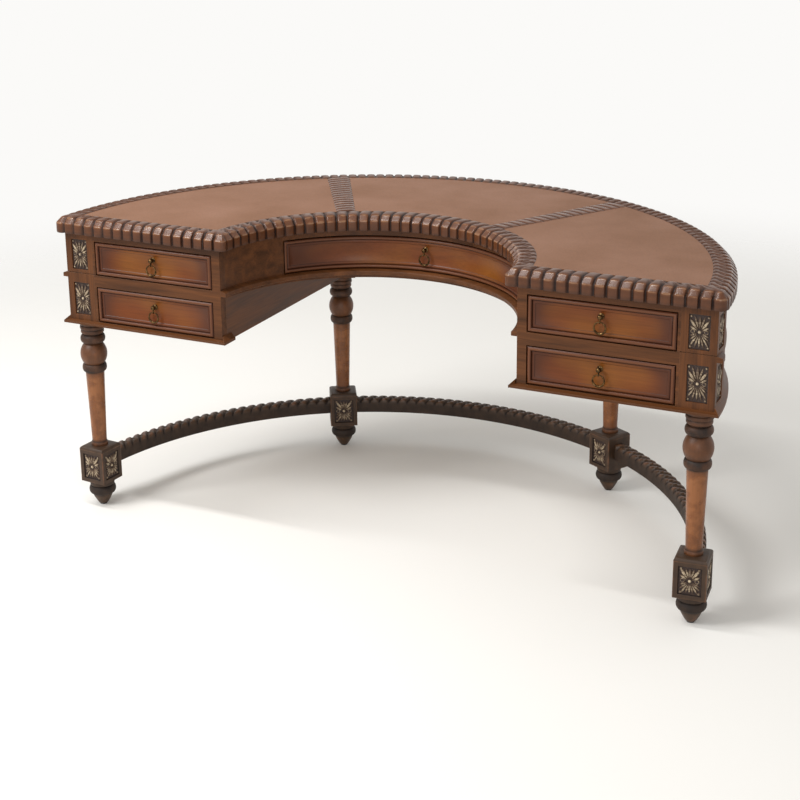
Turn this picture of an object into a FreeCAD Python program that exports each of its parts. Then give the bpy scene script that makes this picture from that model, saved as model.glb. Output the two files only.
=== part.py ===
import FreeCAD, Part
import math
import os

# A half-round captain's desk on four turned legs, with two drawers in each side and a
# curved drawer over the knees. It is drawn about the centre of its arcs, a little in
# front of the top's front edge, and moved at the end so that its origin is the middle of
# its footprint on the floor. X runs to the right, Y to the back, Z up, in millimetres.

V = FreeCAD.Vector
ORIGIN = V(0, 0, 0)
RIGHT = V(1, 0, 0)
BACK = V(0, 1, 0)
UP = V(0, 0, 1)

# Overall sizes
HEIGHT = 770.0              # floor to the crest of the top's edge
OUTER_R = 835.0             # back edge of the top
INNER_R = 350.0             # edge of the knee recess
FRONT_SET = 12.0            # front edge of the top, behind the centre of the arcs

# Clearances
CUT_OVERRUN = 6.0           # how far a cutter runs past what it cuts
SEAT_GAP = 0.2              # between fitted or curved faces that meet
DRAWER_GAP = 2.5            # shadow line round a drawer front
SLIDE_GAP = 0.3             # under and beside a drawer's sides
RING_GAP = 0.4              # round a pull ring's wire in its eye

# The top: a stepped board, a carved edge moulding, leather and two dividers
TOP_T = 40.0                # crest of the edge down to the underside of the board
LEDGE_DROP = 20.0           # crest down to the board's rebated ledge
FIELD_DROP = 3.0            # crest down to the leather
LEATHER_T = 2.0
ARC_BORDER = 52.0           # width of the edge moulding on the two arcs
FRONT_BORDER = 50.0         # and on the straight front ends
EDGE_COVER = 22.0           # how far the moulding covers the edge of the board
CHAMFER_SET = 12.0          # upper edge of the moulding's chamfer, in from its face
CHAMFER_FALL = 4.0          # crest down to that edge
CHAMFER_H = 11.5
CREST_SHARE = 0.45          # where the crest lies across the border
DIVIDER_ANGLE = 60.0        # from the X axis, over the back legs
DIVIDER_INNER_W = 46.0
DIVIDER_OUTER_W = 60.0

# The case
OUTER_OVERHANG = 20.0       # face of the top's edge to the outer wall
INNER_OVERHANG = 26.0       # face of the top's edge to the apron over the knees
FRONT_OVERHANG = 18.0       # face of the top's edge to the front faces
WALL_T = 20.0
FRAME_T = 20.0
POST_W = 78.0               # front posts, seen from the front
POST_D = 66.0
BACK_POST_W = 76.0
INNER_STILE_W = 24.0
OUTER_STILE_W = 6.0
TOP_RAIL_H = 17.5
MID_RAIL_H = 29.5
BOTTOM_RAIL_H = 8.5
INNER_WALL_T = 15.0
BOTTOM_T = 7.0
DUST_T = 6.0
DUST_DROP = 21.5            # top of the middle rail down to the upper case's underside

# Drawers
UPPER_DRAWER_H = 81.0
LOWER_DRAWER_H = 85.5
APRON_END_W = 70.0          # apron beside the centre drawer
FRONT_T = 18.0
FRONT_PROUD = 2.0           # drawer fronts stand out from the case
BEAD_W = 9.0                # flat bead round a drawer front
FRAME_W = 19.0              # bead and slope together
PANEL_SINK = 6.0
BOX_INSET = 14.0            # box side in from the end of its front
BOX_LIFT = 4.0              # box's lower edge above the front's lower edge
BOX_DROP = 16.0             # box's upper edge below the front's upper edge
BOX_T = 12.0
BOX_BOTTOM_T = 5.0
SIDE_BOX_BACK_GAP = 43.0    # outer corner of a side box to the wall behind it
CENTRE_BOX_BACK_GAP = 97.0  # and of the centre box
RUNNER_W = 18.0
RUNNER_TAIL = 8.0           # runner beyond the back of its drawer
FENCE_T = 8.0
FENCE_H = 15.0

# Ring pulls
PULL_RISE = 13.0            # knob above the middle of its drawer front
STEM_R = 2.0
STEM_L = 9.0
FLANGE_R = 6.0
FLANGE_T = 1.5
NECK_R = 3.0
KNOB_R = 6.0
KNOB_OUT = 10.0             # knob's centre out from the panel
EYE_DROP = 11.0             # ring's eye below the knob's centre
EYE_R = 3.6
EYE_W = 5.0
EYE_WEB_R = 1.8
RING_R = 13.0
WIRE_R = 1.6

# Mouldings round the case
MID_MOULD_OUT = 14.0
MID_MOULD_H = 13.5
MID_MOULD_NOSE = 10.0
MID_MOULD_DROP = 12.5       # top of the middle rail down to the moulding's underside
SEAM_D = 2.0                # groove across the front posts, level with the drawer gap
MOULD_OUT = 12.0            # round the lower edge
MOULD_H = 18.0
MOULD_NOSE = 6.0
FOOT_MOULD_H = 8.0          # under the lower drawers
FOOT_MOULD_NOSE = 5.0
RETURN_L = 37.0             # short return at the inner end

# Legs
LEG_INSET = 36.0            # middle of a leg in from the outer wall
BACK_LEG_ANGLE = 60.0       # from the X axis
COLLAR_R = 31.0
COLLAR_H = 34.0
COLLAR_GROOVE = 3.0
COLLAR_RINGS = 3
NECK_H = 2.0
UPPER_NECK_R = 24.0
UPPER_BEAD_R = 31.0
UPPER_BEAD_H = 23.0
BALL_NECK_R = 21.5
BALL_R = 33.5
BALL_H = 54.0
BALL_FOOT_R = 25.5
LOWER_BEAD_R = 30.5
LOWER_BEAD_H = 22.0
SHAFT_TOP_R = 23.3
SHAFT_FOOT_R = 18.5
FLARE_R = 21.0
FLARE_H = 10.0
BLOCK_W = 74.0
BLOCK_H = 90.0
BLOCK_CHAMFER = 8.0
FOOT_H = 69.0               # floor to the underside of the block
FOOT_NECK_R = 31.0
FOOT_NECK_H = 15.0
FOOT_BEAD_R = 34.0
FOOT_BEAD_H = 23.0
FOOT_TOP_R = 26.0
FOOT_TIP_R = 11.0
GLIDE_R = 9.0
GLIDE_H = 3.0
BOLT_R = 5.0
BOLT_L = 90.0

# Stretcher
STRETCHER_W = 34.0
STRETCHER_H = 40.0
STRETCHER_Z = 101.0         # floor to its underside
TENON_L = 14.0
TENON_W = 16.0
TENON_H = 22.0

# Carved panels
CARVING_SINK = 4.0          # floor of the recess
CARVING_T = 3.0             # plate in the recess
BOSS_H = 3.0
BOSS_SHARE = 0.4            # foot of the boss, of the panel's width
BOSS_TIP_SHARE = 0.12
POST_PANEL_W = 46.0
POST_SIDE_PANEL_W = 42.0
POST_PANEL_MARGIN = 11.0    # lower panel to the moulding above it
POST_PANEL_BASE = 22.0      # underside of the case to the lower panel
POST_PANEL_RISE = 7.0       # seam of the post to the upper panel
POST_PANEL_TOP = 17.0       # upper panel to the underside of the top
BLOCK_PANEL_W = 48.0
BLOCK_PANEL_H = 62.0

# Levels
FIELD_Z = HEIGHT - FIELD_DROP
BOARD_Z = FIELD_Z - LEATHER_T
LEDGE_Z = HEIGHT - LEDGE_DROP
CASE_TOP = HEIGHT - TOP_T
UPPER_DRAWER_TOP = CASE_TOP - TOP_RAIL_H - DRAWER_GAP
UPPER_DRAWER_Z = UPPER_DRAWER_TOP - UPPER_DRAWER_H
MID_RAIL_TOP = UPPER_DRAWER_Z - DRAWER_GAP
LOWER_DRAWER_TOP = MID_RAIL_TOP - MID_RAIL_H - DRAWER_GAP
LOWER_DRAWER_Z = LOWER_DRAWER_TOP - LOWER_DRAWER_H
CASE_Z = LOWER_DRAWER_Z - DRAWER_GAP - BOTTOM_RAIL_H
MID_MOULD_Z = MID_RAIL_TOP - MID_MOULD_DROP
UPPER_CASE_Z = MID_RAIL_TOP - DUST_DROP
DUST_TOP = UPPER_CASE_Z + DUST_T
BLOCK_TOP = FOOT_H + BLOCK_H

# Plan places, from the centre of the arcs
WALL_R = OUTER_R - OUTER_OVERHANG
WALL_IN_R = WALL_R - WALL_T
APRON_R = INNER_R + INNER_OVERHANG
APRON_OUT_R = APRON_R + WALL_T
FRONT_Y = FRONT_SET + FRONT_OVERHANG
FRAME_Y = FRONT_Y + FRAME_T
CORNER_X = math.sqrt(WALL_R ** 2 - FRONT_Y ** 2)
APRON_CORNER_X = math.sqrt(APRON_R ** 2 - FRONT_Y ** 2)
INNER_WALL_X = math.sqrt(APRON_R ** 2 - FRAME_Y ** 2)
POST_X = CORNER_X - POST_W
DRAWER_X1 = INNER_WALL_X + INNER_STILE_W + DRAWER_GAP
DRAWER_X2 = POST_X - OUTER_STILE_W - DRAWER_GAP
DRAWER_X = (DRAWER_X1 + DRAWER_X2) / 2
DRAWER_FACE_Y = FRONT_Y - FRONT_PROUD
DRAWER_BACK_Y = DRAWER_FACE_Y + FRONT_T
CENTRE_X = APRON_CORNER_X - APRON_END_W
CENTRE_FACE_R = APRON_R - FRONT_PROUD
CENTRE_BACK_R = CENTRE_FACE_R + FRONT_T
SIDE_BOX_BACK = math.sqrt(WALL_IN_R ** 2 - (DRAWER_X2 - BOX_INSET) ** 2) - SIDE_BOX_BACK_GAP
CENTRE_BOX_BACK = math.sqrt(WALL_IN_R ** 2 - CENTRE_X ** 2) - CENTRE_BOX_BACK_GAP
LEG_CIRCLE_R = WALL_R - LEG_INSET
FRONT_LEG_ANGLE = math.degrees(math.asin((FRONT_Y + POST_D / 2) / LEG_CIRCLE_R))
HALF_TURN = 180.0
QUARTER_TURN = 90.0


# Shapes that repeat

def at_angle(radius, angle, z):
    turn = math.radians(angle)
    return V(radius * math.cos(turn), radius * math.sin(turn), z)


def slab(x1, x2, y1, y2, z1, z2):
    return Part.makeBox(x2 - x1, y2 - y1, z2 - z1, V(x1, y1, z1))


def drum(radius, z1, z2):
    return Part.makeCylinder(radius, z2 - z1, V(0, 0, z1))


def ring_sector(r1, r2, angle1, angle2, z1, z2):
    middle = (angle1 + angle2) / 2
    outer = Part.Arc(at_angle(r2, angle1, z1), at_angle(r2, middle, z1), at_angle(r2, angle2, z1))
    inner = Part.Arc(at_angle(r1, angle2, z1), at_angle(r1, middle, z1), at_angle(r1, angle1, z1))
    last = Part.LineSegment(at_angle(r2, angle2, z1), at_angle(r1, angle2, z1))
    first = Part.LineSegment(at_angle(r1, angle1, z1), at_angle(r2, angle1, z1))
    outline = Part.Wire([edge.toShape() for edge in (outer, last, inner, first)])
    return Part.Face(outline).extrude(UP * (z2 - z1))


def prism(corners, z1, z2):
    points = [V(x, y, z1) for x, y in corners]
    return Part.Face(Part.makePolygon(points + points[:1])).extrude(UP * (z2 - z1))


def face_of(points):
    return Part.Face(Part.makePolygon(points + points[:1]))


def mirrored(shape):
    return shape.mirror(ORIGIN, RIGHT)


def turned(shape, angle):
    copy = shape.copy()
    copy.rotate(ORIGIN, UP, angle)
    return copy


def moved(shape, point):
    copy = shape.copy()
    copy.translate(point)
    return copy


def facing(shape, angle, point):
    """Turn a piece that faces the front to face another way, and set it at a point."""
    return moved(turned(shape, angle), point)


def turning(start, runs):
    """A lathe-turned solid: straight runs (r, z) and round ones (r, z, r at the middle)."""
    edges = []
    here = start
    for run in runs:
        there = (run[0], run[1])
        if len(run) == 3:
            middle = V(run[2], 0, (here[1] + there[1]) / 2)
            edge = Part.Arc(V(here[0], 0, here[1]), middle, V(there[0], 0, there[1]))
        else:
            edge = Part.LineSegment(V(here[0], 0, here[1]), V(there[0], 0, there[1]))
        edges.append(edge.toShape())
        here = there
    edges.append(Part.LineSegment(V(here[0], 0, here[1]), V(start[0], 0, start[1])).toShape())
    return Part.Face(Part.Wire(edges)).revolve(ORIGIN, UP, 2 * HALF_TURN)


# The top

def crown(place, crest, end, fall):
    """Arc that leaves the crest level and falls to its end."""
    width = end - crest
    radius = (width ** 2 + fall ** 2) / (2 * fall)
    turn = math.asin(width / radius) / 2
    middle = place(crest + radius * math.sin(turn), HEIGHT - radius * (1 - math.cos(turn)))
    return Part.Arc(place(crest, HEIGHT), middle, place(end, HEIGHT - fall))


def edge_section(place, border):
    """Section of the edge moulding: a crowned top, a chamfer and an upright face, over a
    rebate for the board. place turns a distance from that face and a height into a point."""
    chamfer_top = HEIGHT - CHAMFER_FALL
    inner_crown = crown(place, border * CREST_SHARE, border, FIELD_DROP)
    outer_crown = crown(place, border * CREST_SHARE, CHAMFER_SET, CHAMFER_FALL)
    corners = [
        place(CHAMFER_SET, chamfer_top), place(0, chamfer_top - CHAMFER_H), place(0, CASE_TOP),
        place(EDGE_COVER, CASE_TOP), place(EDGE_COVER, LEDGE_Z), place(border, LEDGE_Z),
        place(border, FIELD_Z)]
    edges = [inner_crown.toShape(), outer_crown.toShape()]
    for first, second in zip(corners, corners[1:]):
        edges.append(Part.LineSegment(first, second).toShape())
    return Part.Face(Part.Wire(edges))


def end_zone():
    """Plan of the straight moulding on the right front end, mitred at both corners."""
    past = FRONT_SET + CUT_OVERRUN
    outer_x = math.sqrt(OUTER_R ** 2 - FRONT_SET ** 2)
    inner_x = math.sqrt(INNER_R ** 2 - FRONT_SET ** 2)
    back = FRONT_SET + FRONT_BORDER
    corners = [
        (outer_x + past, FRONT_SET - past), (outer_x - FRONT_BORDER, back),
        (inner_x + FRONT_BORDER, back), (inner_x - past, FRONT_SET - past)]
    return prism(corners, CASE_TOP - CUT_OVERRUN, HEIGHT + CUT_OVERRUN)


def edge_arc(section):
    """The moulding swept round an arc and cut at the mitres of both ends."""
    arc = section.revolve(ORIGIN, UP, HALF_TURN)
    return arc.cut(end_zone()).cut(mirrored(end_zone()))


def edge_mouldings():
    outer = edge_section(lambda d, z: V(OUTER_R - d, 0, z), ARC_BORDER)
    inner = edge_section(lambda d, z: V(INNER_R + d, 0, z), ARC_BORDER)
    front = edge_section(lambda d, z: V(INNER_R - CUT_OVERRUN, FRONT_SET + d, z), FRONT_BORDER)
    run = RIGHT * (OUTER_R - INNER_R + 2 * CUT_OVERRUN)
    right = front.extrude(run).common(end_zone())
    return {
        "edge_moulding_outer": edge_arc(outer),
        "edge_moulding_inner": edge_arc(inner),
        "edge_moulding_right": right,
        "edge_moulding_left": mirrored(right)}


def half_ring(inset, front, z1, z2):
    """A half ring set in from both edges of the top, starting behind the front edge."""
    ring = ring_sector(INNER_R + inset, OUTER_R - inset, 0, HALF_TURN, z1, z2)
    end = FRONT_SET + front
    return ring.cut(slab(-OUTER_R, OUTER_R, -CUT_OVERRUN, end, z1 - CUT_OVERRUN, z2 + CUT_OVERRUN))


def top_board():
    ledge = half_ring(EDGE_COVER + SEAT_GAP, EDGE_COVER + SEAT_GAP, CASE_TOP, LEDGE_Z)
    field = half_ring(ARC_BORDER + SEAT_GAP, FRONT_BORDER + SEAT_GAP, LEDGE_Z, BOARD_Z)
    return ledge.fuse(field).removeSplitter()


def divider_strip(margin, z1, z2):
    """The tapered strip over the right back leg, along X and then turned to its angle."""
    r1 = INNER_R + ARC_BORDER
    r2 = OUTER_R - ARC_BORDER
    half1 = DIVIDER_INNER_W / 2 + margin
    half2 = DIVIDER_OUTER_W / 2 + margin
    grow = (half2 - half1) / (r2 - r1) * ARC_BORDER
    corners = [
        (r1 - ARC_BORDER, -half1 + grow), (r2 + ARC_BORDER, -half2 - grow),
        (r2 + ARC_BORDER, half2 + grow), (r1 - ARC_BORDER, half1 - grow)]
    return turned(prism(corners, z1, z2), DIVIDER_ANGLE)


def top_field():
    """Three leather panels, parted by two ribbed dividers."""
    inset = ARC_BORDER + SEAT_GAP
    r1 = INNER_R + inset
    r2 = OUTER_R - inset
    divider = divider_strip(0, BOARD_Z, HEIGHT).common(ring_sector(r1, r2, 0, QUARTER_TURN, BOARD_Z, HEIGHT))
    room = divider_strip(SEAT_GAP, BOARD_Z - CUT_OVERRUN, HEIGHT)
    end = FRONT_SET + FRONT_BORDER + SEAT_GAP
    front = slab(0, OUTER_R, -CUT_OVERRUN, end, BOARD_Z - CUT_OVERRUN, HEIGHT)
    right = ring_sector(r1, r2, 0, DIVIDER_ANGLE, BOARD_Z, FIELD_Z).cut(front).cut(room)
    centre = ring_sector(r1, r2, DIVIDER_ANGLE, HALF_TURN - DIVIDER_ANGLE, BOARD_Z, FIELD_Z)
    return {
        "dividers": Part.makeCompound([divider, mirrored(divider)]),
        "leather_right": right,
        "leather_left": mirrored(right),
        "leather_centre": centre.cut(room).cut(mirrored(room))}


# Carved panels

def carving(width, height):
    """Plate with a low boss, seated at the origin and facing the front."""
    plate = slab(-width / 2, width / 2, -CARVING_T, 0, -height / 2, height / 2)
    boss = Part.makeCone(width * BOSS_SHARE, width * BOSS_TIP_SHARE, BOSS_H, V(0, -CARVING_T, 0), -BACK)
    return plate.fuse(boss).removeSplitter()


def carving_recess(width, height):
    half = width / 2 + SEAT_GAP
    rise = height / 2 + SEAT_GAP
    return slab(-half, half, -CARVING_SINK - CUT_OVERRUN, 0, -rise, rise)


def post_panel_places():
    """Turn, seat and size of the four carved panels of the right front post."""
    low = (CASE_Z + POST_PANEL_BASE, MID_MOULD_Z - POST_PANEL_MARGIN)
    high = (UPPER_DRAWER_Z + POST_PANEL_RISE, CASE_TOP - POST_PANEL_TOP)
    places = []
    for z1, z2 in (low, high):
        middle = (z1 + z2) / 2
        front = V((POST_X + CORNER_X) / 2, FRONT_Y + CARVING_SINK, middle)
        side = at_angle(WALL_R - CARVING_SINK, FRONT_LEG_ANGLE, middle)
        places.append((0, front, POST_PANEL_W, z2 - z1))
        places.append((QUARTER_TURN + FRONT_LEG_ANGLE, side, POST_SIDE_PANEL_W, z2 - z1))
    return places


def block_panel_places(angle, sides):
    """Turn, seat and size of the panels on a leg block; sides are turns from its front."""
    middle = at_angle(LEG_CIRCLE_R, angle, FOOT_H + BLOCK_H / 2)
    reach = BLOCK_W / 2 - CARVING_SINK
    places = []
    for side in sides:
        turn = angle + side
        out = at_angle(reach, turn - QUARTER_TURN, 0)
        places.append((turn, middle + out, BLOCK_PANEL_W, BLOCK_PANEL_H))
    return places


FRONT_LEG_SIDES = (-QUARTER_TURN, 0, QUARTER_TURN)
BACK_LEG_SIDES = (-QUARTER_TURN, QUARTER_TURN)


def with_recesses(shape, places):
    for angle, seat, width, height in places:
        shape = shape.cut(facing(carving_recess(width, height), angle, seat))
    return shape


def carvings(places):
    pieces = [facing(carving(width, height), angle, seat) for angle, seat, width, height in places]
    return Part.makeCompound(pieces + [mirrored(piece) for piece in pieces])


# The case

def bolt_hole(angle):
    foot = at_angle(LEG_CIRCLE_R, angle, CASE_Z - BOLT_L / 2 - SEAT_GAP)
    return Part.makeCylinder(BOLT_R + SEAT_GAP, BOLT_L + 2 * SEAT_GAP, foot)


def front_post_blank():
    block = slab(POST_X, OUTER_R, FRONT_Y, FRONT_Y + POST_D, CASE_Z, CASE_TOP)
    return block.common(drum(WALL_R, CASE_Z, CASE_TOP))


def front_post():
    seam = slab(
        POST_X - CUT_OVERRUN, OUTER_R, FRONT_Y - CUT_OVERRUN, FRONT_Y + SEAM_D, MID_RAIL_TOP, UPPER_DRAWER_Z)
    post = with_recesses(front_post_blank(), post_panel_places())
    return post.cut(seam).cut(bolt_hole(FRONT_LEG_ANGLE))


def back_post_blank():
    half = BACK_POST_W / 2
    block = slab(LEG_CIRCLE_R - half, OUTER_R, -half, half, CASE_Z, CASE_TOP)
    return turned(block.common(drum(WALL_R, CASE_Z, CASE_TOP)), BACK_LEG_ANGLE)


def back_post():
    return back_post_blank().cut(bolt_hole(BACK_LEG_ANGLE))


def side_wall():
    wall = ring_sector(WALL_IN_R, WALL_R, FRONT_LEG_ANGLE, BACK_LEG_ANGLE, CASE_Z, CASE_TOP)
    return wall.cut(front_post_blank()).cut(back_post_blank())


def back_wall():
    post = back_post_blank()
    wall = ring_sector(WALL_IN_R, WALL_R, BACK_LEG_ANGLE, HALF_TURN - BACK_LEG_ANGLE, UPPER_CASE_Z, CASE_TOP)
    return wall.cut(post).cut(mirrored(post))


def apron_side():
    wall = ring_sector(APRON_R, APRON_OUT_R, 0, QUARTER_TURN, UPPER_CASE_Z, CASE_TOP)
    low = UPPER_CASE_Z - CUT_OVERRUN
    high = CASE_TOP + CUT_OVERRUN
    wall = wall.cut(slab(0, OUTER_R, -CUT_OVERRUN, FRAME_Y, low, high))
    return wall.cut(slab(-CUT_OVERRUN, CENTRE_X + DRAWER_GAP, 0, OUTER_R, low, high))


def apron_rails():
    half = CENTRE_X + DRAWER_GAP
    rails = []
    for z1, z2 in ((UPPER_CASE_Z, MID_RAIL_TOP), (UPPER_DRAWER_TOP + DRAWER_GAP, CASE_TOP)):
        rail = ring_sector(APRON_R, APRON_OUT_R, 0, HALF_TURN, z1, z2)
        rails.append(rail.common(slab(-half, half, 0, OUTER_R, z1, z2)))
    return Part.makeCompound(rails)


def face_frame():
    frame = slab(INNER_R, POST_X, FRONT_Y, FRAME_Y, CASE_Z, CASE_TOP)
    frame = frame.cut(drum(APRON_R, CASE_Z - CUT_OVERRUN, CASE_TOP + CUT_OVERRUN))
    for z1, z2 in ((LOWER_DRAWER_Z, LOWER_DRAWER_TOP), (UPPER_DRAWER_Z, UPPER_DRAWER_TOP)):
        opening = slab(
            DRAWER_X1 - DRAWER_GAP, DRAWER_X2 + DRAWER_GAP, FRONT_Y - CUT_OVERRUN, FRAME_Y + CUT_OVERRUN,
            z1 - DRAWER_GAP, z2 + DRAWER_GAP)
        frame = frame.cut(opening)
    return frame


def inner_wall():
    wall = slab(INNER_WALL_X, INNER_WALL_X + INNER_WALL_T, FRAME_Y, LEG_CIRCLE_R, CASE_Z, UPPER_CASE_Z)
    inside = drum(WALL_IN_R - SEAT_GAP, CASE_Z, UPPER_CASE_Z)
    piece = wall.common(inside).cut(back_post_blank())
    return min(piece.Solids, key=lambda solid: solid.CenterOfMass.y)


def bottom_board():
    top = CASE_Z + BOTTOM_T
    board = slab(INNER_WALL_X + INNER_WALL_T, OUTER_R, FRAME_Y, OUTER_R, CASE_Z, top)
    board = board.common(drum(WALL_IN_R - SEAT_GAP, CASE_Z, top))
    board = board.cut(front_post_blank()).cut(back_post_blank())
    return max(board.Solids, key=lambda solid: solid.Volume)


def dust_panel():
    panel = ring_sector(
        APRON_OUT_R + SEAT_GAP, WALL_IN_R - SEAT_GAP, 0, HALF_TURN, UPPER_CASE_Z, DUST_TOP)
    low = UPPER_CASE_Z - CUT_OVERRUN
    panel = panel.cut(slab(-OUTER_R, OUTER_R, -CUT_OVERRUN, FRAME_Y, low, DUST_TOP + CUT_OVERRUN))
    for post in (front_post_blank(), back_post_blank()):
        panel = panel.cut(post).cut(mirrored(post))
    return panel


# Mouldings round the case

def moulding_section(place, out, z, height, nose):
    return face_of([place(SEAT_GAP, z), place(out, z), place(out, z + nose), place(SEAT_GAP, z + height)])


def mid_moulding():
    """One run round the outside and one round the apron, both cut off at the front."""
    high = MID_MOULD_Z + MID_MOULD_H
    front = slab(-OUTER_R, OUTER_R, -CUT_OVERRUN, FRONT_Y, MID_MOULD_Z - CUT_OVERRUN, high + CUT_OVERRUN)
    arcs = []
    for place in (lambda d, level: V(WALL_R + d, 0, level), lambda d, level: V(APRON_R - d, 0, level)):
        section = moulding_section(place, MID_MOULD_OUT, MID_MOULD_Z, MID_MOULD_H, MID_MOULD_NOSE)
        arcs.append(section.revolve(ORIGIN, UP, HALF_TURN).cut(front))
    return Part.makeCompound(arcs)


def front_zone():
    """Plan of the lower moulding on the right front face, mitred at both corners."""
    past = FRONT_Y + CUT_OVERRUN
    corners = [
        (CORNER_X, FRONT_Y), (CORNER_X + past, FRONT_Y - past),
        (APRON_CORNER_X - past, FRONT_Y - past), (APRON_CORNER_X, FRONT_Y)]
    return prism(corners, CASE_Z - CUT_OVERRUN, CASE_Z + MOULD_H + CUT_OVERRUN)


def bottom_moulding():
    zone = front_zone()
    front = moulding_section(
        lambda d, level: V(INNER_R, FRONT_Y - d, level), MOULD_OUT, CASE_Z, FOOT_MOULD_H, FOOT_MOULD_NOSE)
    front = front.extrude(RIGHT * (OUTER_R - INNER_R)).common(zone)
    outer = moulding_section(
        lambda d, level: V(WALL_R + d, 0, level), MOULD_OUT, CASE_Z, MOULD_H, MOULD_NOSE)
    far_end = BACK_LEG_ANGLE + math.degrees(math.asin(BACK_POST_W / 2 / WALL_R))
    side = outer.revolve(ORIGIN, UP, far_end).cut(zone)
    inner = moulding_section(
        lambda d, level: V(INNER_WALL_X - d, 0, level), MOULD_OUT, CASE_Z, MOULD_H, MOULD_NOSE)
    back = inner.extrude(BACK * (FRONT_Y + RETURN_L)).cut(zone)
    back = max(back.Solids, key=lambda solid: solid.CenterOfMass.y)
    pieces = [front, side, back]
    return Part.makeCompound(pieces + [mirrored(piece) for piece in pieces])


# Legs and stretchers

def leg_turning():
    """The turned part between the case and the block, on the Z axis."""
    runs = [(COLLAR_R, CASE_Z)]
    level = CASE_Z
    step = COLLAR_H / COLLAR_RINGS
    for _ in range(COLLAR_RINGS):
        level = level - step
        runs.append((COLLAR_R - COLLAR_GROOVE, level, COLLAR_R))
    level = level - NECK_H
    runs.append((UPPER_NECK_R, level))
    level = level - UPPER_BEAD_H
    runs.append((BALL_NECK_R, level, UPPER_BEAD_R))
    level = level - BALL_H
    runs.append((BALL_FOOT_R, level, BALL_R))
    level = level - LOWER_BEAD_H
    runs.append((SHAFT_TOP_R, level, LOWER_BEAD_R))
    runs.append((SHAFT_FOOT_R, BLOCK_TOP + FLARE_H))
    runs.append((SHAFT_FOOT_R, BLOCK_TOP, FLARE_R))
    runs.append((SHAFT_FOOT_R, BLOCK_TOP - BLOCK_CHAMFER))
    runs.append((0, BLOCK_TOP - BLOCK_CHAMFER))
    return turning((0, CASE_Z), runs)


def foot_turning():
    bead_top = FOOT_H - FOOT_NECK_H
    bead_foot = bead_top - FOOT_BEAD_H
    runs = [
        (FOOT_NECK_R, FOOT_H + BLOCK_CHAMFER), (FOOT_NECK_R, bead_top), (FOOT_TOP_R, bead_foot, FOOT_BEAD_R),
        (FOOT_TIP_R, GLIDE_H), (0, GLIDE_H)]
    return turning((0, FOOT_H + BLOCK_CHAMFER), runs)


def leg_block():
    half = BLOCK_W / 2
    block = slab(-half, half, -half, half, FOOT_H, BLOCK_TOP)
    level_edges = [edge for edge in block.Edges if edge.BoundBox.ZLength < BLOCK_CHAMFER]
    return block.makeChamfer(BLOCK_CHAMFER, level_edges)


def stretcher_tenon(angle, grow):
    """Arc that runs through a block's faces, as the stretcher's tenons do."""
    reach = math.degrees(math.asin((BLOCK_W / 2 + CUT_OVERRUN) / LEG_CIRCLE_R))
    z1 = STRETCHER_Z + (STRETCHER_H - TENON_H) / 2
    return ring_sector(
        LEG_CIRCLE_R - TENON_W / 2 - grow, LEG_CIRCLE_R + TENON_W / 2 + grow, angle - reach, angle + reach,
        z1 - grow, z1 + TENON_H + grow)


def block_core(angle, grow):
    """The middle of a block, which the tenons stop short of."""
    half = BLOCK_W / 2
    stop = half - TENON_L - grow
    core = slab(-half, half, -stop, stop, FOOT_H, BLOCK_TOP)
    return turned(moved(core, V(LEG_CIRCLE_R, 0, 0)), angle)


def block_envelope(angle):
    half = BLOCK_W / 2
    return turned(slab(LEG_CIRCLE_R - half, LEG_CIRCLE_R + half, -half, half, FOOT_H, BLOCK_TOP), angle)


def leg(angle, sides, mortise_turns):
    body = leg_turning().fuse(leg_block()).fuse(foot_turning()).removeSplitter()
    body = turned(moved(body, V(LEG_CIRCLE_R, 0, 0)), angle)
    body = with_recesses(body, block_panel_places(angle, sides)).cut(bolt_hole(angle))
    for turn in mortise_turns:
        y1, y2 = sorted([0, turn * BLOCK_W])
        side = turned(slab(0, OUTER_R, y1, y2, 0, HEIGHT), angle)
        mortise = stretcher_tenon(angle, SEAT_GAP).cut(block_core(angle, SEAT_GAP)).common(side)
        body = body.cut(mortise)
    return body


def stretcher(angle1, angle2):
    """An arc between two blocks, with a tenon into each of them."""
    half = STRETCHER_W / 2
    bar = ring_sector(
        LEG_CIRCLE_R - half, LEG_CIRCLE_R + half, angle1, angle2, STRETCHER_Z, STRETCHER_Z + STRETCHER_H)
    between = ring_sector(LEG_CIRCLE_R - half, LEG_CIRCLE_R + half, angle1, angle2, 0, HEIGHT)
    for angle in (angle1, angle2):
        bar = bar.cut(block_envelope(angle))
    for angle in (angle1, angle2):
        tenon = stretcher_tenon(angle, 0).cut(block_core(angle, 0)).common(between)
        bar = bar.fuse(tenon)
    return bar.removeSplitter()


def on_four_legs(piece):
    right = [moved(piece, at_angle(LEG_CIRCLE_R, angle, 0)) for angle in (FRONT_LEG_ANGLE, BACK_LEG_ANGLE)]
    return Part.makeCompound(right + [mirrored(shape) for shape in right])


def glides():
    return on_four_legs(drum(GLIDE_R, 0, GLIDE_H))


def leg_bolts():
    return on_four_legs(drum(BOLT_R, CASE_Z - BOLT_L / 2, CASE_Z + BOLT_L / 2))


# Drawers

def rectangle(x1, x2, y, z1, z2):
    return Part.makePolygon([V(x1, y, z1), V(x2, y, z1), V(x2, y, z2), V(x1, y, z2), V(x1, y, z1)])


def side_drawer_front(z1, z2):
    block = slab(DRAWER_X1, DRAWER_X2, DRAWER_FACE_Y, DRAWER_BACK_Y, z1, z2)
    mouth = rectangle(DRAWER_X1 + BEAD_W, DRAWER_X2 - BEAD_W, DRAWER_FACE_Y, z1 + BEAD_W, z2 - BEAD_W)
    floor = rectangle(
        DRAWER_X1 + FRAME_W, DRAWER_X2 - FRAME_W, DRAWER_FACE_Y + PANEL_SINK, z1 + FRAME_W, z2 - FRAME_W)
    return block.cut(Part.makeLoft([mouth, floor], True, True))


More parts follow.
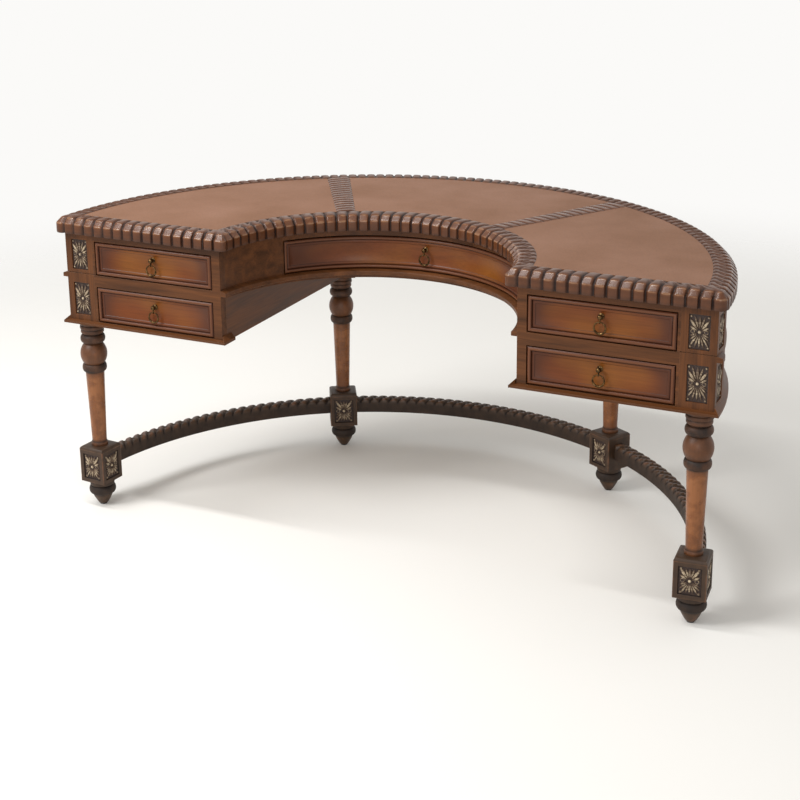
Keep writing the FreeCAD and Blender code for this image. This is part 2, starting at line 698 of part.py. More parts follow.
def centre_drawer_front(z1, z2):
    block = ring_sector(CENTRE_FACE_R, CENTRE_BACK_R, 0, HALF_TURN, z1, z2)
    block = block.common(slab(-CENTRE_X, CENTRE_X, 0, OUTER_R, z1, z2))
    half = CENTRE_X - FRAME_W
    sink = ring_sector(
        INNER_R, CENTRE_FACE_R + PANEL_SINK, 0, HALF_TURN, z1 + FRAME_W, z2 - FRAME_W)
    return block.cut(sink.common(slab(-half, half, 0, OUTER_R, z1, z2)))


def drawer_box(x1, x2, y1, y2, z1, z2):
    """Two sides, a back and a bottom, four solids."""
    left = slab(x1, x1 + BOX_T, y1, y2, z1, z2)
    right = slab(x2 - BOX_T, x2, y1, y2, z1, z2)
    back = slab(x1 + BOX_T, x2 - BOX_T, y2 - BOX_T, y2, z1, z2)
    bottom = slab(x1 + BOX_T, x2 - BOX_T, y1, y2 - BOX_T, z1, z1 + BOX_BOTTOM_T)
    return [left, right, back, bottom]


def side_drawer_box(z1, z2):
    solids = drawer_box(
        DRAWER_X1 + BOX_INSET, DRAWER_X2 - BOX_INSET, DRAWER_BACK_Y, SIDE_BOX_BACK,
        z1 + BOX_LIFT, z2 - BOX_DROP)
    return Part.makeCompound(solids)


def centre_drawer_box(z1, z2):
    half = CENTRE_X - BOX_INSET
    solids = drawer_box(-half, half, FRAME_Y, CENTRE_BOX_BACK, z1 + BOX_LIFT, z2 - BOX_DROP)
    curve = drum(CENTRE_BACK_R + SEAT_GAP, z1, z2)
    return Part.makeCompound([solid.cut(curve) for solid in solids])


def pull_knob():
    """Knob with its stem and the eye under it, seated at the origin and facing the front."""
    stem = Part.makeCylinder(STEM_R, STEM_L, ORIGIN, BACK)
    flange = Part.makeCylinder(FLANGE_R, FLANGE_T, ORIGIN, -BACK)
    neck = Part.makeCylinder(NECK_R, KNOB_OUT, ORIGIN, -BACK)
    knob = Part.makeSphere(KNOB_R, V(0, -KNOB_OUT, 0))
    web = Part.makeCylinder(EYE_WEB_R, EYE_DROP, V(0, -KNOB_OUT, 0), -UP)
    eye = Part.makeCylinder(EYE_R, EYE_W, V(-EYE_W / 2, -KNOB_OUT, -EYE_DROP), RIGHT)
    hole = Part.makeCylinder(
        WIRE_R + RING_GAP, EYE_W + 2 * CUT_OVERRUN, V(-EYE_W / 2 - CUT_OVERRUN, -KNOB_OUT, -EYE_DROP), RIGHT)
    solid = stem.fuse([flange, neck, knob, web, eye]).removeSplitter()
    return solid.cut(hole)


def pull_ring():
    return Part.makeTorus(RING_R, WIRE_R, V(0, -KNOB_OUT, -EYE_DROP - RING_R), BACK)


def stem_hole():
    return Part.makeCylinder(STEM_R + SEAT_GAP, STEM_L + SEAT_GAP + CUT_OVERRUN, V(0, -CUT_OVERRUN, 0), BACK)


def drawer(name, front, box, seat):
    return {
        name + "_drawer_front": front.cut(moved(stem_hole(), seat)),
        name + "_drawer_box": box,
        name + "_pull_knob": moved(pull_knob(), seat),
        name + "_pull_ring": moved(pull_ring(), seat)}


def drawers():
    nodes = {}
    levels = (("upper", UPPER_DRAWER_Z, UPPER_DRAWER_TOP), ("lower", LOWER_DRAWER_Z, LOWER_DRAWER_TOP))
    for level, z1, z2 in levels:
        seat = V(DRAWER_X, DRAWER_FACE_Y + PANEL_SINK, (z1 + z2) / 2 + PULL_RISE)
        right = drawer(level + "_right", side_drawer_front(z1, z2), side_drawer_box(z1, z2), seat)
        nodes.update(right)
        nodes.update({name.replace("_right", "_left"): mirrored(shape) for name, shape in right.items()})
    seat = V(0, CENTRE_FACE_R + PANEL_SINK, (UPPER_DRAWER_Z + UPPER_DRAWER_TOP) / 2 + PULL_RISE)
    front = centre_drawer_front(UPPER_DRAWER_Z, UPPER_DRAWER_TOP)
    box = centre_drawer_box(UPPER_DRAWER_Z, UPPER_DRAWER_TOP)
    nodes.update(drawer("centre", front, box, seat))
    return nodes


def runner(side_x, out, y1, y2, seat_z, box_z):
    """A rail under a drawer side, with a fence outside it; out is 1 or -1 along X."""
    xs = sorted([side_x - out * RUNNER_W, side_x + out * (SLIDE_GAP + FENCE_T)])
    rail = slab(xs[0], xs[1], y1, y2, seat_z, box_z - SLIDE_GAP)
    xs = sorted([side_x + out * SLIDE_GAP, side_x + out * (SLIDE_GAP + FENCE_T)])
    fence = slab(xs[0], xs[1], y1, y2, seat_z, box_z + FENCE_H)
    return rail.fuse(fence).removeSplitter()


def drawer_runners():
    pieces = []
    far = SIDE_BOX_BACK + RUNNER_TAIL
    stages = ((CASE_Z + BOTTOM_T, LOWER_DRAWER_Z + BOX_LIFT), (DUST_TOP, UPPER_DRAWER_Z + BOX_LIFT))
    for seat_z, box_z in stages:
        pieces.append(runner(DRAWER_X1 + BOX_INSET, -1, FRAME_Y, far, seat_z, box_z))
        pieces.append(runner(DRAWER_X2 - BOX_INSET, 1, FRAME_Y, far, seat_z, box_z))
    half = CENTRE_X - BOX_INSET
    rail = runner(half, 1, FRAME_Y, CENTRE_BOX_BACK + RUNNER_TAIL, DUST_TOP, UPPER_DRAWER_Z + BOX_LIFT)
    pieces.append(rail.cut(drum(APRON_OUT_R + SEAT_GAP, UPPER_CASE_Z, CASE_TOP)))
    return Part.makeCompound(pieces + [mirrored(piece) for piece in pieces])


# The whole desk

def pairs():
    """Pieces that are alike on the right and the left."""
    return {
        "front_post": front_post(),
        "side_wall": side_wall(),
        "apron": apron_side(),
        "face_frame": face_frame(),
        "inner_wall": inner_wall(),
        "bottom_board": bottom_board(),
        "front_leg": leg(FRONT_LEG_ANGLE, FRONT_LEG_SIDES, (1,)),
        "back_leg": leg(BACK_LEG_ANGLE, BACK_LEG_SIDES, (1, -1)),
        "side_stretcher": stretcher(FRONT_LEG_ANGLE, BACK_LEG_ANGLE)}


def desk():
    post = back_post()
    block_places = block_panel_places(FRONT_LEG_ANGLE, FRONT_LEG_SIDES)
    block_places = block_places + block_panel_places(BACK_LEG_ANGLE, BACK_LEG_SIDES)
    nodes = {
        "top_board": top_board(),
        "back_posts": Part.makeCompound([post, mirrored(post)]),
        "back_wall": back_wall(),
        "apron_rails": apron_rails(),
        "dust_panel": dust_panel(),
        "mid_moulding": mid_moulding(),
        "bottom_moulding": bottom_moulding(),
        "post_carvings": carvings(post_panel_places()),
        "block_carvings": carvings(block_places),
        "back_stretcher": stretcher(BACK_LEG_ANGLE, HALF_TURN - BACK_LEG_ANGLE),
        "glides": glides(),
        "leg_bolts": leg_bolts(),
        "drawer_runners": drawer_runners()}
    nodes.update(edge_mouldings())
    nodes.update(top_field())
    nodes.update(drawers())
    for name, shape in pairs().items():
        nodes[name + "_right"] = shape
        nodes[name + "_left"] = mirrored(shape)
    return nodes


os.makedirs("parts", exist_ok=True)
to_footprint = V(0, -(FRONT_SET + OUTER_R) / 2, 0)
for name, shape in desk().items():
    moved(shape, to_footprint).exportStep("parts/" + name + ".step")
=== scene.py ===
"""Looks of a half-round captain's desk: carved edges, turned legs, framed drawers and leather.

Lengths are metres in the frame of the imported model. The arcs of the top are struck from the
point x = 0, y = CENTRE_Y, a little in front of the desk's front edge.
"""
import math

import bmesh
import bpy
from bpy.props import FloatProperty, FloatVectorProperty, IntProperty, PointerProperty
from mathutils import Matrix, Vector


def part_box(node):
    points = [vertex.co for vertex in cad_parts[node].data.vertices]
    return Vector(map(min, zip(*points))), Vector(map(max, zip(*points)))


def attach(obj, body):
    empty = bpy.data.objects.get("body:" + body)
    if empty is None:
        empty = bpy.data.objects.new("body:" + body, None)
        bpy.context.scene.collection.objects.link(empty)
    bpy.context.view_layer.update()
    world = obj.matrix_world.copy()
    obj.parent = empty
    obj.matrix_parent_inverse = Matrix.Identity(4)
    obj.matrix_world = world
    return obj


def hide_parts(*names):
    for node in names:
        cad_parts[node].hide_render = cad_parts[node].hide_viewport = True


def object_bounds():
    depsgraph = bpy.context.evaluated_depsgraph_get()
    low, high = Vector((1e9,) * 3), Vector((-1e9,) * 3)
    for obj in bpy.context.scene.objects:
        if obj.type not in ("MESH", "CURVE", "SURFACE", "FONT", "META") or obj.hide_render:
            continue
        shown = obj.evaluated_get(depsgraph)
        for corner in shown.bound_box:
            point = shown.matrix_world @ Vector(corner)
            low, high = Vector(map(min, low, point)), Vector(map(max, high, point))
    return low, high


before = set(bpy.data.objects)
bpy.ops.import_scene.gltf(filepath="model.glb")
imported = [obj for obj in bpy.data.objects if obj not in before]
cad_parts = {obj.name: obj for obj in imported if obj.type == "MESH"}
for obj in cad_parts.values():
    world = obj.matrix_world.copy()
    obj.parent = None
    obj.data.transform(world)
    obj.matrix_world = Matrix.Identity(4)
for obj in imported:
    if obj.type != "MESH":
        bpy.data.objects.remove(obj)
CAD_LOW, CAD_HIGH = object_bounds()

bl_info = {
    "name": "Captain's desk",
    "version": (1, 0, 0),
    "blender": (4, 5, 0),
    "location": "View3D > Sidebar > Desk",
    "description": "Dresses a half-round captain's desk over its packed frame",
    "category": "Object",
}

MM = 0.001
FRONT_SET = 12 * MM
CENTRE_Y = CAD_LOW.y - FRONT_SET
TOP = CAD_HIGH.z
OUTER_R = CAD_HIGH.y - CENTRE_Y
DRAWERS = ("upper_left", "upper_right", "lower_left", "lower_right", "centre")
LEGS = ("front_right", "back_right", "back_left", "front_left")


def linear(code):
    """Linear colour of an sRGB hex code."""
    parts = [int(code[i:i + 2], 16) / 255 for i in (0, 2, 4)]
    return tuple(p / 12.92 if p <= 0.04045 else ((p + 0.055) / 1.055) ** 2.4 for p in parts)


def size(label, text, millimetres):
    """A length property, given in millimetres."""
    return FloatProperty(name=label, description=text, default=millimetres * MM, unit="LENGTH")


def lean(label, text, degrees):
    """An angle property, given in degrees."""
    return FloatProperty(name=label, description=text, default=math.radians(degrees), subtype="ANGLE")


def tint(label, text, code):
    """A colour property, given as an sRGB hex code."""
    return FloatVectorProperty(name=label, description=text, default=linear(code), subtype="COLOR")


class DeskSizes(bpy.types.PropertyGroup):
    """Sizes of the carved, turned and framed work."""
    arc_border: size("Arc border", "Width of the carved edge on the two arcs", 52)
    front_border: size("Front border", "Width of the carved edge on the front ends", 50)
    face_groove: size("Face groove", "Depth of the grooves in the upright face of the edge", 5)
    top_groove: size("Top groove", "Depth of the grooves in the top of the edge", 4.8)
    outer_corner: size("Outer corner", "Rounding of the top's outer corners", 18)
    inner_corner: size("Inner corner", "Rounding of the top's corners at the knee recess", 12)
    outer_ribs: IntProperty(name="Outer ribs", description="Ribs round the outer arc", default=102)
    inner_ribs: IntProperty(name="Inner ribs", description="Ribs round the knee recess", default=42)
    front_ribs: IntProperty(name="Front ribs", description="Ribs on each front end", default=17)
    rib_lean: lean("Rib lean", "Slant of the ribs round the arcs", 5)
    front_lean: lean("Front rib lean", "Slant of the ribs on the front ends", 3.5)
    divider_pitch: size("Divider ribs", "Spacing of the ribs on the dividers", 24)
    stretcher_pitch: size("Stretcher ribs", "Spacing of the ribs on the stretchers", 27)
    stretcher_notch: size("Stretcher notch", "Depth of the grooves on the stretchers", 7)
    block_panel: size("Block panel", "Depth of the carved panels in the leg blocks", 4)
    shoulder_in: size("Shoulder set-in", "How far the rounded top of a leg block comes in", 9)
    shoulder_rise: size("Shoulder rise", "Height of the rounded top of a leg block", 9)
    ring_wire: size("Ring wire", "Thickness of the pull rings at the bottom", 4.8)


class DeskColours(bpy.types.PropertyGroup):
    """Colours of the woods, the leather and the metal."""
    cherry_deep: tint("Cherry, deep", "Darker figure of the case wood", "422510")
    cherry: tint("Cherry", "Face of the case wood", "693e1f")
    panel_edge: tint("Panel edge", "Shaded edge of a drawer panel", "4e2815")
    panel_red: tint("Panel red", "Red-brown of a drawer panel", "6d3715")
    panel_gold: tint("Panel gold", "Ochre middle of a drawer panel", "7e4919")
    # Carved, deep is glaze and painted shade: it darkens the carved grooves and undersides, the rosettes'
    # ground and the drawer frames' sunk steps.
    glaze_and_painted_shade: tint("Carved, deep", "Glaze left in the grooves", "240f06")
    carved: tint("Carved", "Crests of the carved edge", "673b1e")
    # Turned, dark also darkens the necks between the legs' beads as painted shade.
    turned_dark: tint("Turned, dark", "Dark rings of the legs", "24160e")
    turned: tint("Turned", "Shafts and balls of the legs", "814d28")
    block: tint("Block", "Leg blocks and stretchers", "4c3522")
    # The gilt colour is partly painted highlight on the rosettes' high places.
    gilt: tint("Gilt", "Rubbed gilt on the rosettes", "c0ad90")
    leather: tint("Leather", "Face of the leather", "865c42")
    leather_deep: tint("Leather, deep", "Creases of the leather", "7a5339")
    brass: tint("Brass", "Worn high spots of the pulls", "6b5233")
    brass_deep: tint("Brass, deep", "Patina of the pulls", "281d12")
    poplar: tint("Poplar", "Planed wood inside the case", "a98a63")
    floor: tint("Floor", "Studio floor", "f1efeb")


# Materials

def add(tree, kind, inputs=None, out=0, **settings):
    """One output of a new shader node, with its settings, and its sockets set or linked."""
    node = tree.nodes.new("ShaderNode" + kind)
    for name, value in settings.items():
        setattr(node, name, value)
    for socket, value in (inputs or {}).items():
        if isinstance(value, bpy.types.NodeSocket):
            tree.links.new(value, node.inputs[socket])
        else:
            node.inputs[socket].default_value = value
    return node.outputs[out] if node.outputs else None


def new_material(name):
    """An empty material and its node tree."""
    material = bpy.data.materials.new(name)
    material.use_nodes = True
    material.node_tree.nodes.clear()
    return material, material.node_tree


def finish_material(material, face, rough, bump=None, specular=0.5, metal=0.0):
    """Closes a material with one shader; rough is a value, or a guide and the values at its two ends."""
    tree = material.node_tree
    if isinstance(rough, tuple):
        rough = add(tree, "MapRange", {"Value": rough[0], "To Min": rough[1], "To Max": rough[2]})
    inputs = {"Base Color": face, "Roughness": rough, "Specular IOR Level": specular, "Metallic": metal}
    if bump:
        inputs["Normal"] = bump
    add(tree, "OutputMaterial", {"Surface": add(tree, "BsdfPrincipled", inputs)})
    return material


def rgba(colour):
    return (*colour, 1.0)


def specks(tree, millimetres, detail):
    """Specks or clouds of a size, in the piece's own space."""
    place = add(tree, "TexCoord", out="Object")
    return add(tree, "TexNoise", {"Vector": place, "Scale": 1 / (millimetres * MM), "Detail": detail})


def coat(tree, face, guide, colour=None, start=0.0, end=1.0, low=0.0, high=1.0):
    """A face colour with one more coat over it, from low to high strength as a guide runs from start to end.

    A coat with no colour only shades the face.
    """
    level = add(tree, "MapRange", {
        "Value": guide, "From Min": start, "From Max": end, "To Min": low, "To Max": high})
    if colour is None:
        share, layer, mode = 1.0, level, "MULTIPLY"
    else:
        share, layer, mode = level, rgba(colour), "MIX"
    return add(tree, "Mix", {0: share, 6: face, 7: layer}, 2, data_type="RGBA", blend_type=mode)


def grain_place(tree, grain):
    """Coordinates whose X runs along the grain: along an axis, or round the desk's arcs."""
    x, y, z = add(tree, "SeparateXYZ", {"Vector": add(tree, "TexCoord", out="Object")}).node.outputs
    order = {"upright": (z, x, y), "deep": (y, x, z), "along": (x, z, y)}.get(grain)
    if grain == "arc":
        back = add(tree, "Math", {0: y, 1: CENTRE_Y}, operation="SUBTRACT")
        turn = add(tree, "Math", {0: back, 1: x}, operation="ARCTAN2")
        order = (add(tree, "Math", {0: turn, 1: CAD_HIGH.x}, operation="MULTIPLY"), z, back)
    return add(tree, "CombineXYZ", dict(enumerate(order)))


def grain_nodes(tree, place, figure_mm, pore_mm):
    """Broad figure and fine pores, both drawn out along X: two sockets from 0 to 1."""
    shares = []
    for millimetres, squeeze, detail, rough, wave, low, high in (
            (figure_mm, 0.09, 4.0, 0.6, 0.6, 0.3, 0.7), (pore_mm, 0.035, 3.0, 0.55, 0.0, 0.32, 0.62)):
        drawn = add(tree, "Mapping", {"Vector": place, "Scale": (squeeze, 1.0, 1.0)})
        noise = add(tree, "TexNoise", {
            "Vector": drawn, "Scale": 1 / (millimetres * MM), "Detail": detail, "Roughness": rough,
            "Distortion": wave})
        shares.append(add(tree, "MapRange", {"Value": noise, "From Min": low, "From Max": high}))
    return shares


def shade_and_speck_tone(tree, speck_mm, low, high):
    """The piece's own tone of painted light and shade, strayed from low to high by specks of a size, and
    those specks.
    """
    grit = specks(tree, speck_mm, 3.0)
    stray = add(tree, "MapRange", {
        "Value": grit, "From Min": 0.3, "From Max": 0.7, "To Min": low, "To Max": high})
    tone = add(tree, "Attribute", out="Fac", attribute_name="tone")
    return add(tree, "Math", {0: tone, 1: stray}, operation="ADD", use_clamp=True), grit


def cherry_lacquer(name, colours, grain):
    """Cherry veneer, stained and sprayed with satin lacquer.

    The eye sees a quiet red-brown, drawn-out darker figure, fine pores under the film, and
    paler lines where the lacquer is rubbed along the edges.
    """
    material, tree = new_material(name)
    figure, pores = grain_nodes(tree, grain_place(tree, grain), 26, 3)
    face = coat(tree, rgba(colours.cherry_deep), figure, colours.cherry)
    face = coat(tree, face, pores, low=0.72)
    # The film rounds every edge by about a millimetre, and the rub shows where it turns.
    round_edge = add(tree, "Bevel", {"Radius": 1.4 * MM}, samples=4)
    flat = add(tree, "NewGeometry", out="Normal")
    turn = add(tree, "VectorMath", {0: round_edge, 1: flat}, "Value", operation="DOT_PRODUCT")
    face = coat(tree, face, turn, linear("9a7052"), 0.98, 0.72, high=0.35)
    bump = add(tree, "Bump", {"Height": pores, "Normal": round_edge, "Strength": 0.08, "Distance": 0.3 * MM})
    return finish_material(material, face, (figure, 0.36, 0.46), bump, 0.22)


def drawer_cherry(colours):
    """Drawer fronts in cherry with a sprayed, shaded edge.

    The eye sees a golden middle that turns red-brown and then dark towards the frame, a bead
    painted pale along its crest as a highlight, and painted shade in the sunk steps and on the sides.
    """
    material, tree = new_material("Cherry panel, shaded edge")
    place = grain_place(tree, "along")
    figure, pores = grain_nodes(tree, place, 30, 3)
    across, upward, _ = add(tree, "SeparateXYZ", {"Vector": add(tree, "UVMap", uv_map="front")}).node.outputs
    across = add(tree, "Math", {0: across, 1: 4.0}, operation="POWER")
    upward = add(tree, "Math", {0: upward, 1: 4.0}, operation="POWER")
    edge = add(tree, "Math", {0: across, 1: upward}, operation="ADD")
    edge = add(tree, "MapRange", {
        "Value": edge, "From Min": 0.05, "From Max": 0.62}, interpolation_type="SMOOTHSTEP")
    patch = add(tree, "TexNoise", {"Vector": place, "Scale": 1 / (150 * MM), "Detail": 1.0})
    tone = add(tree, "Attribute", out="Fac", attribute_name="tone")
    face = coat(tree, rgba(colours.panel_red), patch, colours.panel_gold, 0.4, 0.62)
    face = coat(tree, face, figure, low=0.82, high=1.04)
    face = coat(tree, face, pores, low=0.84)
    face = coat(tree, face, edge, colours.panel_edge)
    # Painted shade where the frame's tone is low, in the sunk steps and on the sides.
    face = coat(tree, face, tone, colours.glaze_and_painted_shade, 0.5, 0.0)
    # Painted highlight along the bead, where the tone is high.
    face = coat(tree, face, tone, linear("8a5a3a"), 0.7, 1.0, high=0.3)
    bump = add(tree, "Bump", {"Height": pores, "Strength": 0.07, "Distance": 0.3 * MM})
    return finish_material(material, face, (figure, 0.3, 0.42), bump, 0.25)


def toned_wood(name, deep, crest, grain, gloss, rubbed="a88465", rub_and_highlight_share=0.3):
    """Carved or turned hardwood, stained, glazed dark and wiped back.

    The eye sees dark glaze and painted shade in the hollows and under the edges, a warmer face on
    the high places, and a thin pale rub on the crests and edges that is partly wear and partly
    painted highlight. The piece's own tone sets how light or shaded each place is painted.
    """
    material, tree = new_material(name)
    figure, pores = grain_nodes(tree, grain_place(tree, grain), 18, 3)
    tone, _ = shade_and_speck_tone(tree, 22, -0.14, 0.14)
    # From the deep colour, glaze and painted shade, to the crest's colour as the tone rises.
    face = coat(tree, rgba(deep), tone, crest)
    face = coat(tree, face, figure, low=0.84, high=1.08)
    face = coat(tree, face, pores, low=0.85)
    # The rubbed colour on the highest tones is partly wear and partly a painted highlight.
    face = coat(tree, face, tone, linear(rubbed), 0.86, 1.0, high=rub_and_highlight_share)
    bump = add(tree, "Bump", {"Height": pores, "Strength": 0.08, "Distance": 0.3 * MM})
    return finish_material(material, face, (tone, gloss + 0.4, gloss), bump, 0.35)


def gilt_and_highlight_carving(colours):
    """Carved rosettes, glazed nearly black, with gilt wax rubbed over the high places.

    The eye sees dull pale gold on every tip, partly gilt and partly painted highlight, broken by
    the carver's small facets, and dark brown between the leaves, glaze and painted shade.
    """
    material, tree = new_material("Carved rosette, gilt wax on dark glaze")
    tone, grit = shade_and_speck_tone(tree, 3.5, -0.22, 0.16)
    # The tone paints the rosettes' light: painted shade on the low ground, and pale gold on the tips that is
    # partly gilt and partly painted highlight.
    gilt = add(tree, "MapRange", {"Value": tone, "From Min": 0.5, "From Max": 0.95})
    face = coat(tree, rgba(colours.glaze_and_painted_shade), tone, linear("54402f"), 0.1, 0.5)
    face = coat(tree, face, gilt, colours.gilt)
    metal = add(tree, "MapRange", {"Value": gilt, "To Max": 0.12})
    bump = add(tree, "Bump", {"Height": grit, "Strength": 0.35, "Distance": 0.6 * MM})
    return finish_material(material, face, (gilt, 0.6, 0.36), bump, metal=metal)


def hide_leather(colours):
    """Tanned cowhide, dyed and lightly waxed, glued flat.

    The eye sees a matt tan with soft clouds of colour and a pebble of about 2 mm, drawn
    a little coarser here so that it shows, with the creases between pebbles drawn darker.
    """
    material, tree = new_material("Cowhide, dyed and waxed")
    place = add(tree, "TexCoord", out="Object")
    pebble = add(tree, "TexVoronoi", {
        "Vector": place, "Scale": 1 / (2.6 * MM), "Randomness": 0.9}, "Distance", feature="SMOOTH_F1")
    cloud = add(tree, "MapRange", {"Value": specks(tree, 170, 4.0), "From Min": 0.3, "From Max": 0.7})
    face = coat(tree, rgba(colours.leather_deep), cloud, colours.leather)
    # Darker towards the edges of each pebble, in the creases.
    face = coat(tree, face, pebble, None, 0.25, 0.75, 1.0, 0.82)
    bump = add(tree, "Bump", {"Height": pebble, "Strength": 0.18, "Distance": 0.35 * MM}, invert=True)
    return finish_material(material, face, (cloud, 0.6, 0.5), bump, 0.25)


def aged_brass(colours):
    """Cast brass, darkened and handled.

    The eye sees brown patina with dull yellow where fingers wear it.
    """
    material, tree = new_material("Cast brass, aged")
    stain = specks(tree, 7, 4.0)
    worn = add(tree, "MapRange", {"Value": stain, "From Min": 0.35, "From Max": 0.65})
    face = coat(tree, rgba(colours.brass_deep), worn, colours.brass)
    bump = add(tree, "Bump", {"Height": stain, "Strength": 0.15, "Distance": 0.2 * MM})
    return finish_material(material, face, (worn, 0.5, 0.26), bump, metal=1.0)


def planed_poplar(colours, grain):
    """Poplar boards, planed and left bare.

    The eye sees a pale straw wood with soft grey-green streaks along the grain.
    """
    material, tree = new_material("Poplar, planed, grain " + grain)
    figure, pores = grain_nodes(tree, grain_place(tree, grain), 14, 2)
    face = coat(tree, rgba(linear("8d7350")), figure, colours.poplar)
    face = coat(tree, face, pores, low=0.86)
    bump = add(tree, "Bump", {"Height": pores, "Strength": 0.1, "Distance": 0.3 * MM})
    return finish_material(material, face, 0.68, bump)


def plated_steel():
    """Steel bolts, rolled and zinc plated.

    The eye sees a cool dull grey with faint mottling.
    """
    material, tree = new_material("Steel, zinc plated")
    mottle = specks(tree, 4, 2.0)
    face = coat(tree, rgba(linear("83868a")), mottle, linear("b4b6b8"))
    return finish_material(material, face, (mottle, 0.3, 0.5), metal=1.0)


def moulded_nylon():
    """Nylon glides, moulded and scuffed by the floor.

    The eye sees a dark waxy plastic with a greyed, scratched rim.
    """
    material, tree = new_material("Nylon, moulded")
    scuff = specks(tree, 2, 4.0)
    face = coat(tree, rgba(linear("1d1a18")), scuff, linear("3b3633"))
    return finish_material(material, face, (scuff, 0.4, 0.65))


def studio_floor(colours):
    """Studio floor, matt paint.

    The eye sees an even off-white that gives way to the white behind it, far from the desk.
    """
    material, tree = new_material("Studio floor, matt paint")
    place = add(tree, "TexCoord", out="Object")
    cloud = add(tree, "TexNoise", {"Vector": place, "Scale": 0.8, "Detail": 2.0})
    paint = coat(tree, rgba(linear("eceae5")), cloud, colours.floor)
    board = add(tree, "BsdfPrincipled", {"Base Color": paint, "Roughness": 0.8, "Specular IOR Level": 0.2})
    # Between these distances in metres the floor clears, so it ends with no line.
    far = add(tree, "VectorMath", {0: place}, "Value", operation="LENGTH")
    far = add(tree, "MapRange", {
        "Value": far, "From Min": 1.6, "From Max": 3.6}, interpolation_type="SMOOTHSTEP")
    mixed = add(tree, "MixShader", {0: far, 1: board, 2: add(tree, "BsdfTransparent")})
    add(tree, "OutputMaterial", {"Surface": mixed})
    return material


def made_once(make, name, *details):
    """The material of that name, made the first time it is asked for."""
    return bpy.data.materials.get(name) or make(name, *details)


def edge_wood(context):
    """Wood of the carved edges and the dividers."""
    colours = context.scene.desk_colours
    return made_once(
        toned_wood, "Carved edge, glazed and wiped", colours.glaze_and_painted_shade, colours.carved, "arc", 0.2)


def block_wood(context):
    """Wood of the leg blocks and the stretchers."""
    return made_once(
        toned_wood, "Carved block, dark stain", linear("1b120e"), context.scene.desk_colours.block,
        "upright", 0.34, "7a4e36", 0.45)


def case_cherry(context, grain):
    """Wood of the case, with its grain along an axis or round the arcs."""
    runs = {"arc": "bent", "along": "level", "deep": "front to back", "upright": "upright"}
    return made_once(
        cherry_lacquer, "Cherry veneer, lacquered, " + runs[grain], context.scene.desk_colours, grain)


# Building

# Faces that meet at more than this angle meet in a sharp edge.
SHARP_EDGE = math.radians(38)


def add_piece(name, bm, body, material, slot, *nodes):
    """Turns a bmesh into a piece that rides on a body and stands for its CAD nodes."""
    for face in bm.faces:
        face.smooth = True
    mesh = bpy.data.meshes.new(name)
    bm.to_mesh(mesh)
    bm.free()
    mesh.set_sharp_from_angle(angle=SHARP_EDGE)
    piece = bpy.data.objects.new(name, mesh)
    bpy.context.scene.collection.objects.link(piece)
    mesh.materials.append(material)
    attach(piece, body)
    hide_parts(*nodes)
    return piece


def smooth(share):
    """A share held from 0 to 1, with soft ends."""
    share = min(max(share, 0.0), 1.0)
    return share * share * (3 - 2 * share)


def groove(phase, roundness=0.5):
    """Depth from 0 on the crest of a rib to 1 in the groove between two ribs."""
    off = abs(2 * (phase % 1.0) - 1)
    # The groove takes the last third from crest to bottom; before it the rib is rounded over.
    hollow = smooth((off - 0.68) / 0.24)
    return hollow + roundness * 0.45 * off * off * (1 - hollow)


def toned_mesh():
    """An empty bmesh and the layer that holds its vertices' tone."""
    bm = bmesh.new()
    return bm, bm.verts.layers.float.new("tone")


def join(target, source, matrix=None):
    """Adds a bmesh to another, moved by a matrix, and frees it."""
    if matrix is not None:
        bmesh.ops.transform(source, matrix=matrix, verts=source.verts)
    part = bpy.data.meshes.new("part")
    source.to_mesh(part)
    source.free()
    target.from_mesh(part)
    bpy.data.meshes.remove(part)


def inset(bm, face, inward, outward=0.0):
    """Insets a face, and moves its middle out or back."""
    bmesh.ops.inset_region(
        bm, faces=[face], thickness=inward, depth=outward, use_even_offset=True, use_boundary=True)


def inset_steps(bm, tone, face, steps):
    """Insets a face step by step: in and out in millimetres, and the tone there."""
    for inward, outward, shade in steps:
        inset(bm, face, inward * MM, outward * MM)
        for vert in face.verts:
            vert[tone] = shade


def divide(bm, spot, normal):
    """Divides a whole bmesh along a plane."""
    bmesh.ops.bisect_plane(
        bm, geom=[*bm.verts, *bm.edges, *bm.faces], dist=1e-7, plane_co=spot, plane_no=normal)


def close_mesh(bm):
    """Merges doubles, closes open ends and turns every face outwards."""
    bmesh.ops.remove_doubles(bm, verts=bm.verts, dist=1e-6)
    bmesh.ops.holes_fill(bm, edges=[e for e in bm.edges if e.is_boundary], sides=0)
    bmesh.ops.recalc_face_normals(bm, faces=bm.faces)


def sweep(rows, steps, place):
    """A closed section carried along a run; place(row, share of the run) gives a point and its tone."""
    bm, tone = toned_mesh()
    count = len(rows)
    bmesh.ops.create_grid(bm, x_segments=steps, y_segments=count, size=0.5)
    for vert in bm.verts:
        row = rows[round((vert.co.y + 0.5) * count) % count]
        vert.co, vert[tone] = place(row, vert.co.x + 0.5)
    close_mesh(bm)
    return bm


def arc_point(reach, turn, height):
    """The point at a reach and a turn round the centre of the top's arcs."""
    return reach * math.cos(turn), CENTRE_Y + reach * math.sin(turn), height


